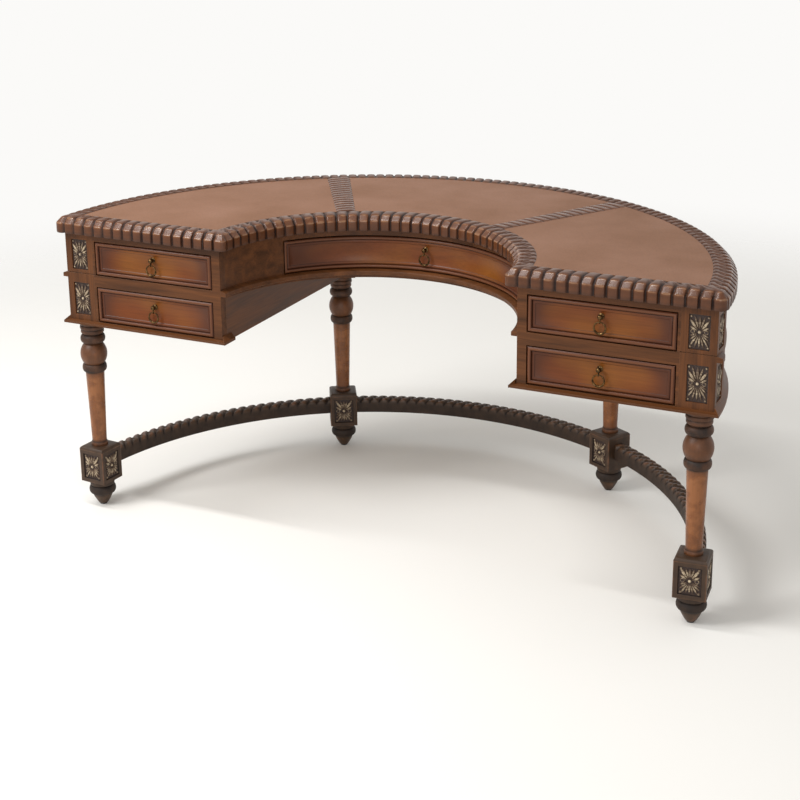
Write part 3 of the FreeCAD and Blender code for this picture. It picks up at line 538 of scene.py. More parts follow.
def edge_rows(border):
    """Rows of the carved edge, from the leather over the chamfer, down the face and under the board.

    Each is in from the face, down from the top, the share of the groove cut in, the share cut
    down, the roundness of the rib there, and the tone of its crest. Lengths are millimetres.
    The tone is painted light and shade: painted highlights on the two edges of the chamfer, and
    painted shade down the face, under the board and next to the leather.
    """
    wide = border / MM
    return (
        (wide, 3, 0, 0.25, 1, 0.4), (wide - 1.2, 1.9, 0, 0.5, 1, 0.55), (wide - 4, 0.9, 0, 0.75, 1, 0.65),
        (wide - 10, 0.2, 0, 0.95, 1, 0.68), (wide / 2, 0, 0, 1, 1, 0.68), (19, 0.5, 0, 1, 0.9, 0.72),
        (15, 1.5, 0.1, 1, 0.7, 0.85), (13, 2.6, 0.25, 1, 0.5, 1), (11.9, 3.6, 0.35, 1, 0.4, 1),
        (10.6, 5, 0.5, 0.9, 0.3, 0.85), (6.2, 9.4, 0.65, 0.8, 0.2, 0.75), (2, 13.4, 0.8, 0.6, 0.1, 0.85),
        (0.8, 14.8, 0.92, 0.35, 0.3, 1), (0.15, 16.4, 1, 0.1, 0.4, 1), (0, 18.6, 1, 0, 0.5, 0.75),
        (0, 25, 1, 0, 0.5, 0.62), (0, 32, 1, 0, 0.5, 0.6), (0, 38, 1, 0, 0.5, 0.5),
        (0.8, 40, 0.9, 0, 0.5, 0.3), (22, 40, 0, 0, 0, 0.2), (22, 20, 0, 0, 0, 0.2), (wide, 20, 0, 0, 0, 0.2))


def carved_run(border, ribs, place):
    """A run of carved edge. place(in, along) gives the plan point there and the phase of its rib."""
    sizes = bpy.context.scene.desk_sizes

    def carve(row, along):
        inward, drop, cut_in, cut_down, roundness, shade = row
        _, phase = place(inward * MM, along)
        # The corners are left plain, so the grooves die out at both ends of a run.
        depth = groove(phase, roundness) * smooth(min(along, 1 - along) * ribs / 0.8)
        spot, _ = place(inward * MM + depth * cut_in * sizes.face_groove, along)
        height = TOP - drop * MM - depth * cut_down * sizes.top_groove
        # The crest's tone falls away in the grooves: glaze and painted shade.
        return (*spot, height), shade * (1 - min(depth, 1.0))

    return sweep(edge_rows(border), ribs * 16, carve)


def inner_radius(sizes):
    """Radius of the top's edge round the knee recess."""
    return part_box("edge_moulding_inner")[1].y - CENTRE_Y - sizes.arc_border


# Share of a corner's radius that its rounding takes off, measured from each edge on the mitre.
MITRE_LOSS = 1 - math.sqrt(0.5)


def rounded_off(spare, past):
    """How far a corner of radius spare draws the edge in, at a distance past the sharp mitre."""
    short = min(max(spare - past, 0.0), spare)
    return spare - math.sqrt(spare * spare - short * short)


def mitre_x(radius, side, inward):
    """Where the mitre of an arc and a front end lies, at a distance in from both edges."""
    return math.sqrt((radius + side * inward) ** 2 - (FRONT_SET + inward) ** 2)


class DESK_OT_carved_edges(bpy.types.Operator):
    """Carved edges round the top: two arcs and two front ends"""
    bl_idname = "desk.carved_edges"
    bl_label = "Carved edges"

    def execute(self, context):
        sizes = context.scene.desk_sizes
        wood = edge_wood(context)
        inner = inner_radius(sizes)
        for name, radius, side, ribs, corner in (
                ("outer", OUTER_R, -1, sizes.outer_ribs, sizes.outer_corner),
                ("inner", inner, 1, sizes.inner_ribs, sizes.inner_corner)):

            def place(inward, along):
                reach = radius + side * inward
                spare = max(0.0, corner - inward)
                start = min(inward, sizes.front_border) + spare * MITRE_LOSS
                first = math.asin((FRONT_SET + start) / reach)
                turn = first + along * (math.pi - 2 * first)
                y = reach * math.sin(turn)
                reach += side * rounded_off(spare, y - FRONT_SET - inward)
                x = math.copysign(math.sqrt(max(reach * reach - y * y, 0.0)), math.cos(turn))
                slant = math.tan(sizes.rib_lean) * inward / (math.pi * radius)
                return (x, CENTRE_Y + y), (turn / math.pi + slant) * ribs

            bm = carved_run(sizes.arc_border, ribs, place)
            add_piece("carved_edge_" + name, bm, "desk", wood, "dark_wood", "edge_moulding_" + name)
        for name, side in (("left", -1), ("right", 1)):

            def place(inward, along):
                inner_spare = max(0.0, sizes.inner_corner - inward)
                outer_spare = max(0.0, sizes.outer_corner - inward)
                near = mitre_x(inner, 1, inward + inner_spare * MITRE_LOSS)
                far = mitre_x(OUTER_R, -1, inward + outer_spare * MITRE_LOSS)
                x = near + along * (far - near)
                back = inward + rounded_off(inner_spare, x - mitre_x(inner, 1, inward))
                back += rounded_off(outer_spare, mitre_x(OUTER_R, -1, inward) - x)
                slant = math.tan(sizes.front_lean) * inward
                phase = (x - inner - slant) / (OUTER_R - inner) * sizes.front_ribs
                return (side * x, CENTRE_Y + FRONT_SET + back), phase

            bm = carved_run(sizes.front_border, sizes.front_ribs, place)
            add_piece("carved_edge_" + name, bm, "desk", wood, "dark_wood", "edge_moulding_" + name)
        return {"FINISHED"}


# Turns of the two dividers in degrees, and in millimetres their width at the knees and at the
# outer edge, and the depth of their grooves.
DIVIDER_TURNS = (60, 120)
DIVIDER_NEAR, DIVIDER_FAR, DIVIDER_GROOVE = 46, 60, 4.2


class DESK_OT_dividers(bpy.types.Operator):
    """Ribbed strips between the leather panels"""
    bl_idname = "desk.dividers"
    bl_label = "Dividers"

    def execute(self, context):
        sizes = context.scene.desk_sizes
        # Share of the width and drop in millimetres, across the strip.
        rows = (
            (-0.5, 5), (-0.5, 3), (-0.47, 1.8), (-0.36, 0.7), (-0.18, 0.15), (0, 0), (0.18, 0.15),
            (0.36, 0.7), (0.47, 1.8), (0.5, 3), (0.5, 5))
        near, far = inner_radius(sizes) + sizes.arc_border, OUTER_R - sizes.arc_border
        count = round((far - near) / sizes.divider_pitch)

        def carve(row, along):
            share, drop = row
            width = (DIVIDER_NEAR + (DIVIDER_FAR - DIVIDER_NEAR) * along) * MM
            depth = min(groove(along * count + share * 0.3), 1.0) if drop < 4 else 0.0
            height = min(drop + DIVIDER_GROOVE * depth * min(1.0, 0.3 + (5 - drop) / 5), 4.9)
            spot = (near + along * (far - near), share * width, TOP - max(drop, height) * MM)
            # Painted shade: the tone falls in the grooves and is low on the strip's sides.
            return spot, 0.8 * (1 - depth) if drop < 4 else 0.2

        whole, _ = toned_mesh()
        for degrees in DIVIDER_TURNS:
            turn = Matrix.Rotation(math.radians(degrees), 4, "Z")
            join(whole, sweep(rows, count * 14, carve), Matrix.Translation((0, CENTRE_Y, 0)) @ turn)
        add_piece("ribbed_dividers", whole, "desk", edge_wood(context), "dark_wood", "dividers")
        return {"FINISHED"}


def bulge(first, widest, last, top, bottom, shade, steps=8):
    """Points of a turned bead from top to bottom as (radius, height, tone)."""
    points = []
    for step in range(steps + 1):
        turn = math.pi * step / steps
        swell = math.sin(turn)
        base = first + (last - first) * step / steps
        height = (top + bottom) / 2 + (top - bottom) / 2 * math.cos(turn)
        # Painted shade: the bead's tone falls towards its necks.
        points.append((base + (widest - base) * swell, height, shade * (0.15 + 0.85 * swell)))
    return points


def leg_profile():
    """The turned leg above its block, in millimetres, from the case down."""
    points = [(0, 497.9, 0.2), (28, 497.9, 0.2)]
    points += bulge(28, 31, 28.4, 497.8, 486.6, 0.36, 6)
    points += bulge(28.4, 30.6, 27.4, 486.4, 475.4, 0.34, 6)
    points += bulge(27.4, 29, 24.4, 475.2, 464, 0.34, 6)
    points += [(24, 463, 0.1)]
    points += bulge(24, 31, 21.8, 462, 439, 0.16, 10)
    # The ball: painted shade darkens it towards its top and bottom, where it meets the beads.
    for step in range(17):
        turn = math.radians(40 + 90 * step / 16)
        shade = 0.12 + 0.4 * math.sin(turn) ** 2
        points.append((33.5 * math.sin(turn), 409.9 + 38.1 * math.cos(turn), shade))
    points += bulge(25.5, 30.5, 24, 385, 363, 0.16, 10)
    points += [(23.6, 362, 0.35), (23.3, 358, 0.75), (22.9, 342, 0.95)]
    points += [(22.9 - 4.4 * step / 8, 342 - 160 * step / 8, 1.0 - 0.02 * step) for step in range(1, 9)]
    points += bulge(18.5, 21, 20, 174, 162, 0.45, 6)
    points += [(18.5, 152, 0.2), (0, 152, 0.2)]
    return points


def foot_profile():
    """The turned foot under the block, in millimetres, from the block down."""
    # Painted shade: the tone is low in the neck under the block and under the foot.
    points = [(0, 77, 0.2), (31, 77, 0.2), (31, 58, 0.5), (30, 55.5, 0.3), (27.5, 54.5, 0.1)]
    points += bulge(27.5, 34, 26, 54, 31.5, 0.22, 10)
    points += [(26, 31, 0.2), (25.4, 29.8, 0.55)]
    points += [(25.4 - 12 * (step / 5) ** 1.25, 29.8 - 23.8 * step / 5, 0.85) for step in range(1, 6)]
    points += [(11.5, 3.6, 0.6), (9.5, 3.05, 0.3), (0, 3.05, 0.3)]
    return points


def turn_on_lathe(points, steps=48):
    """A bmesh of a profile of (radius, height, tone) in millimetres turned about Z."""
    bm, tone = toned_mesh()
    verts = []
    for radius, height, shade in points:
        vert = bm.verts.new((radius * MM, 0, height * MM))
        vert[tone] = shade
        verts.append(vert)
    edges = [bm.edges.new(pair) for pair in zip(verts, verts[1:])]
    bmesh.ops.spin(
        bm, geom=[*verts, *edges], cent=(0, 0, 0), axis=(0, 0, 1), angle=2 * math.pi, steps=steps,
        use_merge=True, use_duplicate=False)
    close_mesh(bm)
    return bm


# Width of a leg block, and the ends of its upright faces from the floor.
BLOCK_WIDTH = 74 * MM
BLOCK_LEVELS = (69 * MM, 155 * MM)


def leg_block(panels, sizes):
    """The square block of a leg about its own axis: rounded shoulders, and sunk panels on some faces."""
    bm, tone = toned_mesh()
    low, high = BLOCK_LEVELS
    box = Matrix.Diagonal((BLOCK_WIDTH, BLOCK_WIDTH, high - low, 1))
    bmesh.ops.create_cube(bm, size=1, matrix=Matrix.Translation((0, 0, (low + high) / 2)) @ box)
    lid = max(bm.faces, key=lambda f: f.calc_center_median().z)
    for step in range(6):
        first, last = (math.radians(15 * (step + i)) for i in (0, 1))
        inset(
            bm, lid, sizes.shoulder_in * (math.cos(first) - math.cos(last)),
            sizes.shoulder_rise * (math.sin(last) - math.sin(first)))
    upright = [e for e in bm.edges if abs(e.verts[0].co.z - e.verts[1].co.z) > 60 * MM]
    bmesh.ops.bevel(
        bm, geom=upright, offset=1.6 * MM, affect="EDGES", segments=2, profile=0.5, material=-1,
        clamp_overlap=True)
    # High tone on the upright edges and corners, where the pale rub is partly wear and partly painted
    # highlight.
    for vert in bm.verts:
        vert[tone] = 0.95 if vert.co.z < high + 0.1 * MM else 0.55
    for direction in ((1, 0, 0), (0, 1, 0), (-1, 0, 0), (0, -1, 0)):
        normal = Vector(direction)
        face = max((f for f in bm.faces if f.normal.dot(normal) > 0.99), key=lambda f: f.calc_area())
        steps = [(2.4, 0.0, 0.62)]
        if direction in panels:
            # The sunk panels' floors take a low tone: painted shade in the recess.
            steps += [(6.8, 0.0, 0.6), (0.8, -1.2, 0.1), (0.5, sizes.block_panel / MM * -0.7, 0.08)]
        inset_steps(bm, tone, face, steps)
    close_mesh(bm)
    return bm


def leg_matrix(place):
    """From a leg's own axis, with +X pointing out of the desk, to its place."""
    end, side = place.split("_")
    low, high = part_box(f"{end}_leg_{side}")
    spot = Vector(((low.x + high.x) / 2, (low.y + high.y) / 2, 0))
    return Matrix.Translation(spot) @ Matrix.Rotation(math.atan2(spot.y - CENTRE_Y, spot.x), 4, "Z")


# Carved faces of each leg's block, on its own axis: out of the desk, to the front, in to the knees.
OUT, IN = (1, 0, 0), (-1, 0, 0)
BLOCK_PANELS = {
    "front_right": (OUT, (0, -1, 0), IN), "front_left": (OUT, (0, 1, 0), IN),
    "back_right": (OUT, IN), "back_left": (OUT, IN)}


class DESK_OT_legs(bpy.types.Operator):
    """Turned legs, each with its carved block and foot"""
    bl_idname = "desk.legs"
    bl_label = "Legs"

    def execute(self, context):
        sizes, colours = context.scene.desk_sizes, context.scene.desk_colours
        turned = made_once(
            toned_wood, "Turned hardwood, stained and lacquered", colours.turned_dark, colours.turned,
            "upright", 0.22, "a06a41", 0.3)
        for place in LEGS:
            end, side = place.split("_")
            bm = turn_on_lathe(leg_profile())
            count = len(bm.faces)
            join(bm, turn_on_lathe(foot_profile()))
            join(bm, leg_block(BLOCK_PANELS[place], sizes))
            bm.faces.ensure_lookup_table()
            for face in bm.faces[count:]:
                face.material_index = 1
            bmesh.ops.transform(bm, matrix=leg_matrix(place), verts=bm.verts)
            leg = add_piece("turned_leg_" + place, bm, "desk", turned, "leg_wood", f"{end}_leg_{side}")
            leg.data.materials.append(block_wood(context))
        return {"FINISHED"}


# A stretcher's section: across and up in millimetres, and the share of the grooves cut there.
STRETCHER_ROWS = (
    (-17, 101, 0), (-17, 112, 0), (-17, 122, 0.03), (-17, 128, 0.15), (-16.4, 134, 0.7), (-14, 138.6, 1),
    (-9, 140.6, 1), (0, 141, 1), (9, 140.6, 1), (14, 138.6, 1), (16.4, 134, 0.7), (17, 128, 0.15),
    (17, 122, 0.03), (17, 112, 0), (17, 101, 0))
# The ribs' slant: how many ribs they lean by, for each millimetre across.
STRETCHER_SLANT = 1.1 / 34
# From a leg's axis to the end of a stretcher, which lies inside the leg's block.
STRETCHER_END = math.radians(2.6)


class DESK_OT_stretchers(bpy.types.Operator):
    """Ribbed curved stretchers between the leg blocks"""
    bl_idname = "desk.stretchers"
    bl_label = "Stretchers"

    def execute(self, context):
        sizes = context.scene.desk_sizes
        turns = {}
        for place in LEGS:
            spot = leg_matrix(place).translation
            turns[place] = math.atan2(spot.y - CENTRE_Y, spot.x)
        middle = math.hypot(spot.x, spot.y - CENTRE_Y)
        for name, first, last in (
                ("side_stretcher_right", "front_right", "back_right"),
                ("back_stretcher", "back_right", "back_left"),
                ("side_stretcher_left", "back_left", "front_left")):
            first, last = turns[first] + STRETCHER_END, turns[last] - STRETCHER_END
            count = round((last - first) * middle / sizes.stretcher_pitch)

            def carve(row, along):
                across, height, share = row
                depth = min(groove(along * count + across * STRETCHER_SLANT, 1.4), 1.0)
                reach = middle + across * (1 - 0.08 * share * depth) * MM
                height = height * MM - sizes.stretcher_notch * share * depth
                # Painted shade in the grooves and down the plain sides; the crests stand high enough to take
                # the pale rub as a painted highlight.
                tone = 0.32 + (0.66 - depth) * min(1.0, share * 1.2)
                return arc_point(reach, first + along * (last - first), height), tone

            bm = sweep(STRETCHER_ROWS, count * 12, carve)
            add_piece("ribbed_" + name, bm, "desk", block_wood(context), "dark_wood", name)
        return {"FINISHED"}


def leaf(bm, matrix, spot, turn, length, width, height, shine):
    """One leaf of a rosette: pointed at both ends, with a ridge down its middle."""
    tone = bm.verts.layers.float["tone"]
    made = bmesh.ops.create_uvsphere(
        bm, u_segments=6, v_segments=6, radius=1, matrix=Matrix.Rotation(math.pi / 2, 4, "Y"))["verts"]
    lie = matrix @ Matrix.Translation((*spot, 0)) @ Matrix.Rotation(turn, 4, "Z")
    for vert in made:
        x, y, z = vert.co
        slim = (1 - 0.35 * abs(x)) * (1 + 0.2 * x)
        # Painted highlight on the leaf's crest, up to its shine, and painted shade at its foot.
        vert[tone] = 0.14 + (shine - 0.14) * max(0.0, z) ** 1.5
        vert.co = lie @ Vector((x * length / 2, y * slim * width / 2, z * height))


def button(bm, matrix, spot, radius, height, shine, eye=False):
    """A round button of a rosette, with a sunk dark eye or none."""
    tone = bm.verts.layers.float["tone"]
    made = bmesh.ops.create_uvsphere(bm, u_segments=12, v_segments=7, radius=1)["verts"]
    lie = matrix @ Matrix.Translation((*spot, 0))
    for vert in made:
        x, y, z = vert.co
        sunk = eye and z > 0.8
        # The sunk eye is painted dark as shade; the dome rises to a painted highlight at its top.
        vert[tone] = 0.05 if sunk else 0.25 + (shine - 0.25) * max(0.0, z) ** 0.7
        vert.co = lie @ Vector((x * radius, y * radius, (0.45 if sunk else z) * height))


def rosette(bm, matrix, width, height):
    """A carved rosette on a sunk panel: X across, Y up, Z out of the panel's floor."""
    tone = bm.verts.layers.float["tone"]
    plate = bmesh.ops.create_cube(
        bm, size=1, matrix=matrix @ Matrix.Diagonal((width, height, 1.2 * MM, 1)))["verts"]
    # The ground is dark: glaze and painted shade between the leaves.
    for vert in plate:
        vert[tone] = 0.1
    button(bm, matrix, (0, 0), 0.085 * width, 4.6 * MM, 1.0)
    # Degrees up from the level, width, height and shine of the leaves on each side; the shine sets
    # the pale gold on a leaf's crest, partly gilt and partly painted highlight.
    upper = ((90, 0.2, 4.0, 0.7), (72, 0.14, 3.6, 0.8), (53, 0.2, 4.6, 1.0), (30, 0.16, 3.8, 0.95))
    lower = tuple((angle, 0.135, 3.8, shine) for angle, shine in (
        (-90, 0.95), (-74, 0.75), (-58, 0.9), (-42, 0.8), (-26, 0.75)))
    for side in (-1, 1):
        button(bm, matrix, (side * 0.32 * width, 0.01 * height), 0.115 * width, 4.2 * MM, 0.95, eye=True)
        for up in (-1, 1):
            button(bm, matrix, (side * 0.41 * width, up * 0.435 * height), 0.065 * width, 3.2 * MM, 0.7)
        for degrees, wide, rise, shine in upper + lower:
            if abs(degrees) == 90 and side > 0:
                continue
            turn = math.radians(degrees if side > 0 else 180 - degrees)
            reach = min(0.47 * width / max(abs(math.cos(turn)), 1e-6), 0.47 * height / abs(math.sin(turn)))
            start = 0.11 * width
            middle = (start + reach) / 2
            spot = (math.cos(turn) * middle, math.sin(turn) * middle)
            leaf(bm, matrix, spot, turn, reach - start, wide * width, rise * MM, shine)


def facing(spot, out):
    """A rosette's place: Z along out, Y up."""
    out = Vector(out).normalized()
    right = Vector((0, 0, 1)).cross(out)
    turn = Matrix((right, Vector((0, 0, 1)), out)).transposed().to_4x4()
    return Matrix.Translation(spot) @ turn


# Outer side of the front posts, and the face of the apron.
POST_SIDE = 815 * MM
APRON_RADIUS = 376 * MM
# Ends of the seam in the posts, level with the gap between the drawers.
POST_SEAM = (627 * MM, 629 * MM)
# Sunk panels in the posts: their lower and upper ends in millimetres, half their width on the
# front and on the outer side, and their depth.
POST_PANELS = ((520, 603), (636, 713))
POST_FRONT_HALF, POST_FLANK_HALF = 23 * MM, 21 * MM
POST_SUNK = 4 * MM
# Behind the posts the mid moulding sinks to a share of its reach, between two distances back from
# the arcs' centre.
MOULDING_FALL = (45 * MM, 100 * MM)
MOULDING_LEFT = 0.2


class DESK_OT_mid_moulding(bpy.types.Operator):
    """Moulding round the middle of the case, dying into the outer wall behind the front posts"""
    bl_idname = "desk.mid_moulding"
    bl_label = "Mid moulding"

    def execute(self, context):
        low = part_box("mid_moulding")[0]
        front = low.y - CENTRE_Y
        # Out from the wall and up from the underside, in millimetres.
        rows = ((0.2, 0), (13, 0), (14, 1), (14, 9), (13.2, 10), (0.2, 13.5))
        start, end = MOULDING_FALL

        def turn_at(reach, share):
            first = math.asin(front / reach)
            return first + share * (math.pi - 2 * first)

        whole = bmesh.new()
        for radius, side in ((POST_SIDE, 1), (APRON_RADIUS, -1)):

            def bend(row, along):
                out, rise = row
                back = radius * math.sin(turn_at(radius, along))
                fall = smooth((back - start) / (end - start)) if side > 0 else 0
                reach = radius + side * out * (1 - (1 - MOULDING_LEFT) * fall) * MM
                return arc_point(reach, turn_at(reach, along), low.z + rise * MM), 0.0

            join(whole, sweep(rows, 240, bend))
        wood = case_cherry(context, "arc")
        add_piece("mid_moulding_run", whole, "desk", wood, "dark_wood", "mid_moulding")
        return {"FINISHED"}


def sink_panel(bm, out, axis, middle, half, ends):
    """Sinks a panel in the face that looks out: half its width about the middle on an axis, and its ends."""
    face = max(bm.faces, key=lambda f: f.normal.dot(out) * f.calc_area())
    halfway = face.calc_center_median().z
    # The inset only makes the rim; its corners then move to the panel's own.
    inset(bm, face, 9 * MM)
    for vert in face.verts:
        vert.co.z = ends[vert.co.z > halfway] * MM
        vert.co[axis] = middle[axis] + math.copysign(half, vert.co[axis] - middle[axis])
    inset(bm, face, 0.5 * MM, -POST_SUNK)


class DESK_OT_posts(bpy.types.Operator):
    """Square front posts with sunk panels on the front and the outer side"""
    bl_idname = "desk.posts"
    bl_label = "Front posts"

    def execute(self, context):
        wood = case_cherry(context, "upright")
        for name, side in (("left", -1), ("right", 1)):
            low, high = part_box("front_post_" + name)
            near = min(abs(low.x), abs(high.x))
            middle = Vector((side * (near + POST_SIDE) / 2, (low.y + high.y) / 2, 0))
            whole = bmesh.new()
            # Two blocks, and a strip set back between them for the seam.
            for base, head, back, panel in (
                    (low.z, POST_SEAM[0], 0, POST_PANELS[0]), (*POST_SEAM, 2 * MM, None),
                    (POST_SEAM[1], high.z, 0, POST_PANELS[1])):
                bm = bmesh.new()
                spot = Matrix.Translation((middle.x, middle.y + back / 2, (base + head) / 2))
                box = Matrix.Diagonal((POST_SIDE - near, high.y - low.y - back, head - base, 1))
                bmesh.ops.create_cube(bm, size=1, matrix=spot @ box)
                if panel:
                    bm.normal_update()
                    sink_panel(bm, Vector((0, -1, 0)), 0, middle, POST_FRONT_HALF, panel)
                    sink_panel(bm, Vector((side, 0, 0)), 1, middle, POST_FLANK_HALF, panel)
                join(whole, bm)
            bmesh.ops.recalc_face_normals(whole, faces=whole.faces)
            add_piece("square_post_" + name, whole, "desk", wood, "case_wood", "front_post_" + name)
        return {"FINISHED"}


# What a rosette is smaller than its panel in a post, and the width and height of one in a leg block.
ROSETTE_PLAY = 1 * MM
BLOCK_ROSETTE = (49 * MM, 64 * MM)


class DESK_OT_rosettes(bpy.types.Operator):
    """Carved rosettes in the posts and the leg blocks"""
    bl_idname = "desk.rosettes"
    bl_label = "Rosettes"

    def execute(self, context):
        posts, _ = toned_mesh()
        low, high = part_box("front_post_right")
        for side in (-1, 1):
            for base, head in POST_PANELS:
                middle, tall = (base + head) / 2 * MM, (head - base) * MM - ROSETTE_PLAY
                front = Vector((side * (low.x + high.x) / 2, low.y + POST_SUNK, middle))
                rosette(posts, facing(front, (0, -1, 0)), 2 * POST_FRONT_HALF - ROSETTE_PLAY, tall)
                flank = Vector((side * (POST_SIDE - POST_SUNK), (low.y + high.y) / 2, middle))
                rosette(posts, facing(flank, (side, 0, 0)), 2 * POST_FLANK_HALF - ROSETTE_PLAY, tall)
        blocks, _ = toned_mesh()
        sunk = BLOCK_WIDTH / 2 - context.scene.desk_sizes.block_panel
        middle = Vector((0, 0, sum(BLOCK_LEVELS) / 2))
        for place in LEGS:
            seat = leg_matrix(place)
            for direction in BLOCK_PANELS[place]:
                out = Vector(direction)
                spot = seat @ (out * sunk + middle)
                rosette(blocks, facing(spot, seat.to_3x3() @ out), *BLOCK_ROSETTE)
        wax = gilt_and_highlight_carving(context.scene.desk_colours)
        for name, bm in (("post", posts), ("block", blocks)):
            bmesh.ops.recalc_face_normals(bm, faces=bm.faces)
            add_piece(name + "_rosettes", bm, "desk", wax, "carving_wood", name + "_carvings")
        return {"FINISHED"}


# Steps across the frame of a drawer front, from its edge: in, out, and the tone there.
# The tone paints a highlight along the beads' crests and shade in the sunk steps.
FRAME_STEPS = (
    (1.6, 1.7, 0.75), (1.8, 1.0, 1.0), (1.6, 0.3, 1.0), (1.6, -0.3, 0.9), (1.4, -1.0, 0.7), (0.8, -2.6, 0.15),
    (0.8, -1.4, 0.05), (1.6, 0.9, 0.5), (2.2, 0.4, 0.62), (2.2, -0.4, 0.55), (1.2, -1.2, 0.15),
    (0.7, -0.4, 0.5))
# How far those steps rise to the highest bead, and the thickness of the bent front.
BEAD_RISE = 3 * MM
BENT_FRONT = 18 * MM


def framed_front(width, height, thickness):
    """A flat drawer front: X across, Z up, its highest bead at y = 0 and its back at y = thickness."""
    bm, tone = toned_mesh()
    box = Matrix.Diagonal((width, thickness - BEAD_RISE, height, 1))
    box = Matrix.Translation((0, (thickness + BEAD_RISE) / 2, 0)) @ box
    # The sides of the front, in the gap round it, start at a low tone: painted shade.
    for vert in bmesh.ops.create_cube(bm, size=1, matrix=box)["verts"]:
        vert[tone] = 0.25
    inset_steps(bm, tone, min(bm.faces, key=lambda f: f.calc_center_median().y), FRAME_STEPS)
    # The map runs from 0 in the middle to 1 at the edges, so the front is divided at its middle.
    for normal in ((1, 0, 0), (0, 0, 1)):
        divide(bm, (0, 0, 0), normal)
    spot = bm.loops.layers.uv.new("front")
    for face in bm.faces:
        for loop in face.loops:
            loop[spot].uv = (abs(loop.vert.co.x) * 2 / width, abs(loop.vert.co.z) * 2 / height)
    return bm


class DESK_OT_drawer_fronts(bpy.types.Operator):
    """Framed drawer fronts, four straight and one bent round the knee recess"""
    bl_idname = "desk.drawer_fronts"
    bl_label = "Drawer fronts"

    def execute(self, context):
        cherry = drawer_cherry(context.scene.desk_colours)
        for place in DRAWERS:
            node = place + "_drawer_front"
            low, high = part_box(node)
            height = high.z - low.z
            if place == "centre":
                reach, half = high.y - CENTRE_Y - BENT_FRONT, high.x
                width = 2 * reach * math.asin(half / reach)
                bm = framed_front(width, height, BENT_FRONT)
                for step in range(-27, 28):
                    divide(bm, (width * step / 56, 0, 0), (1, 0, 0))
                for vert in bm.verts:
                    turn = vert.co.x / reach
                    depth = reach + vert.co.y
                    x = min(max(depth * math.sin(turn), -half), half)
                    vert.co = (x, CENTRE_Y + depth * math.cos(turn), vert.co.z + (low.z + high.z) / 2)
            else:
                bm = framed_front(high.x - low.x, height, high.y - low.y)
                middle = Vector(((low.x + high.x) / 2, low.y, (low.z + high.z) / 2))
                bmesh.ops.translate(bm, verts=bm.verts, vec=middle)
            bmesh.ops.recalc_face_normals(bm, faces=bm.faces)
            add_piece(place + "_framed_front", bm, place + "_drawer", cherry, "drawer_front_wood", node)
        return {"FINISHED"}


RING_RADIUS = 13 * MM
# A knob stands this far above the middle of its ring, with its stem and its eye below it.
KNOB_ABOVE, STEM_BELOW, EYE_BELOW = 24 * MM, 6.6 * MM, 11 * MM
# From the face of a drawer front to the middle of its ring.
RING_OUT = 10 * MM
# A pull's knob from its shank outwards: radius and height in millimetres.
KNOB_PROFILE = (
    (0, -8.9), (2, -8.9), (2, 0.02), (6.6, 0.02), (6.9, 0.6), (6.2, 1.3), (4.6, 1.7), (3.4, 2.6), (2.9, 4.2),
    (3.5, 5.2), (4.9, 6.4), (5.8, 8.2), (6.0, 10), (5.6, 12.2), (4.3, 14.2), (2.3, 15.6), (0, 16))


def hoop(bm, radius, wire, axis):
    """A ring of round wire about the origin, made by turning a circle; returns its vertices."""
    start = set(bm.verts)
    upright = Matrix.Rotation(math.radians(90), 4, "X") if axis == "X" else Matrix.Identity(4)
    made = bmesh.ops.create_circle(bm, segments=10, radius=wire, matrix=upright)["verts"]
    centre = (0, 0, radius) if axis == "X" else (radius, 0, 0)
    edges = dict.fromkeys(e for v in made for e in v.link_edges)
    bmesh.ops.spin(
        bm, geom=[*made, *edges], cent=centre, axis=(1, 0, 0) if axis == "X" else (0, 1, 0),
        angle=2 * math.pi, steps=40, use_merge=True, use_duplicate=False)
    verts = [v for v in bm.verts if v not in start]
    bmesh.ops.translate(bm, verts=verts, vec=-Vector(centre))
    return verts


def pull_knob(spot):
    """A turned knob with a stem and an eye under it."""
    bm = turn_on_lathe([(radius, height, 0) for radius, height in KNOB_PROFILE], 24)
    seat = Matrix.Translation((spot.x, spot.y + RING_OUT, spot.z))
    bmesh.ops.transform(bm, verts=bm.verts, matrix=seat @ Matrix.Rotation(math.radians(90), 4, "X"))
    eye = hoop(bm, 2.8 * MM, 0.8 * MM, "X")
    bmesh.ops.translate(bm, verts=eye, vec=spot - Vector((0, 0, EYE_BELOW)))
    stem = bmesh.ops.create_cone(
        bm, cap_ends=True, segments=12, radius1=1.5 * MM, radius2=2.4 * MM, depth=4.4 * MM)["verts"]
    bmesh.ops.translate(bm, verts=stem, vec=spot - Vector((0, 0, STEM_BELOW)))
    return bm


def pull_ring(wire):
    """A pull ring about the origin, with two beads beside the eye and one at the bottom."""
    bm = bmesh.new()
    for vert in hoop(bm, RING_RADIUS, wire, "Y"):
        # The wire is drawn thinner towards the eye.
        flat = Vector((vert.co.x, 0, vert.co.z)).normalized()
        core = flat * RING_RADIUS
        vert.co = core + (vert.co - core) * (0.55 + 0.45 * smooth(0.5 - 0.6 * flat.z))
    for degrees, swell in ((42, 0.95), (138, 0.95), (-90, 1.25)):
        turn = math.radians(degrees)
        bead = bmesh.ops.create_uvsphere(bm, u_segments=12, v_segments=8, radius=wire * swell)["verts"]
        bmesh.ops.translate(bm, verts=bead, vec=Vector((math.cos(turn), 0, math.sin(turn))) * RING_RADIUS)
    return bm


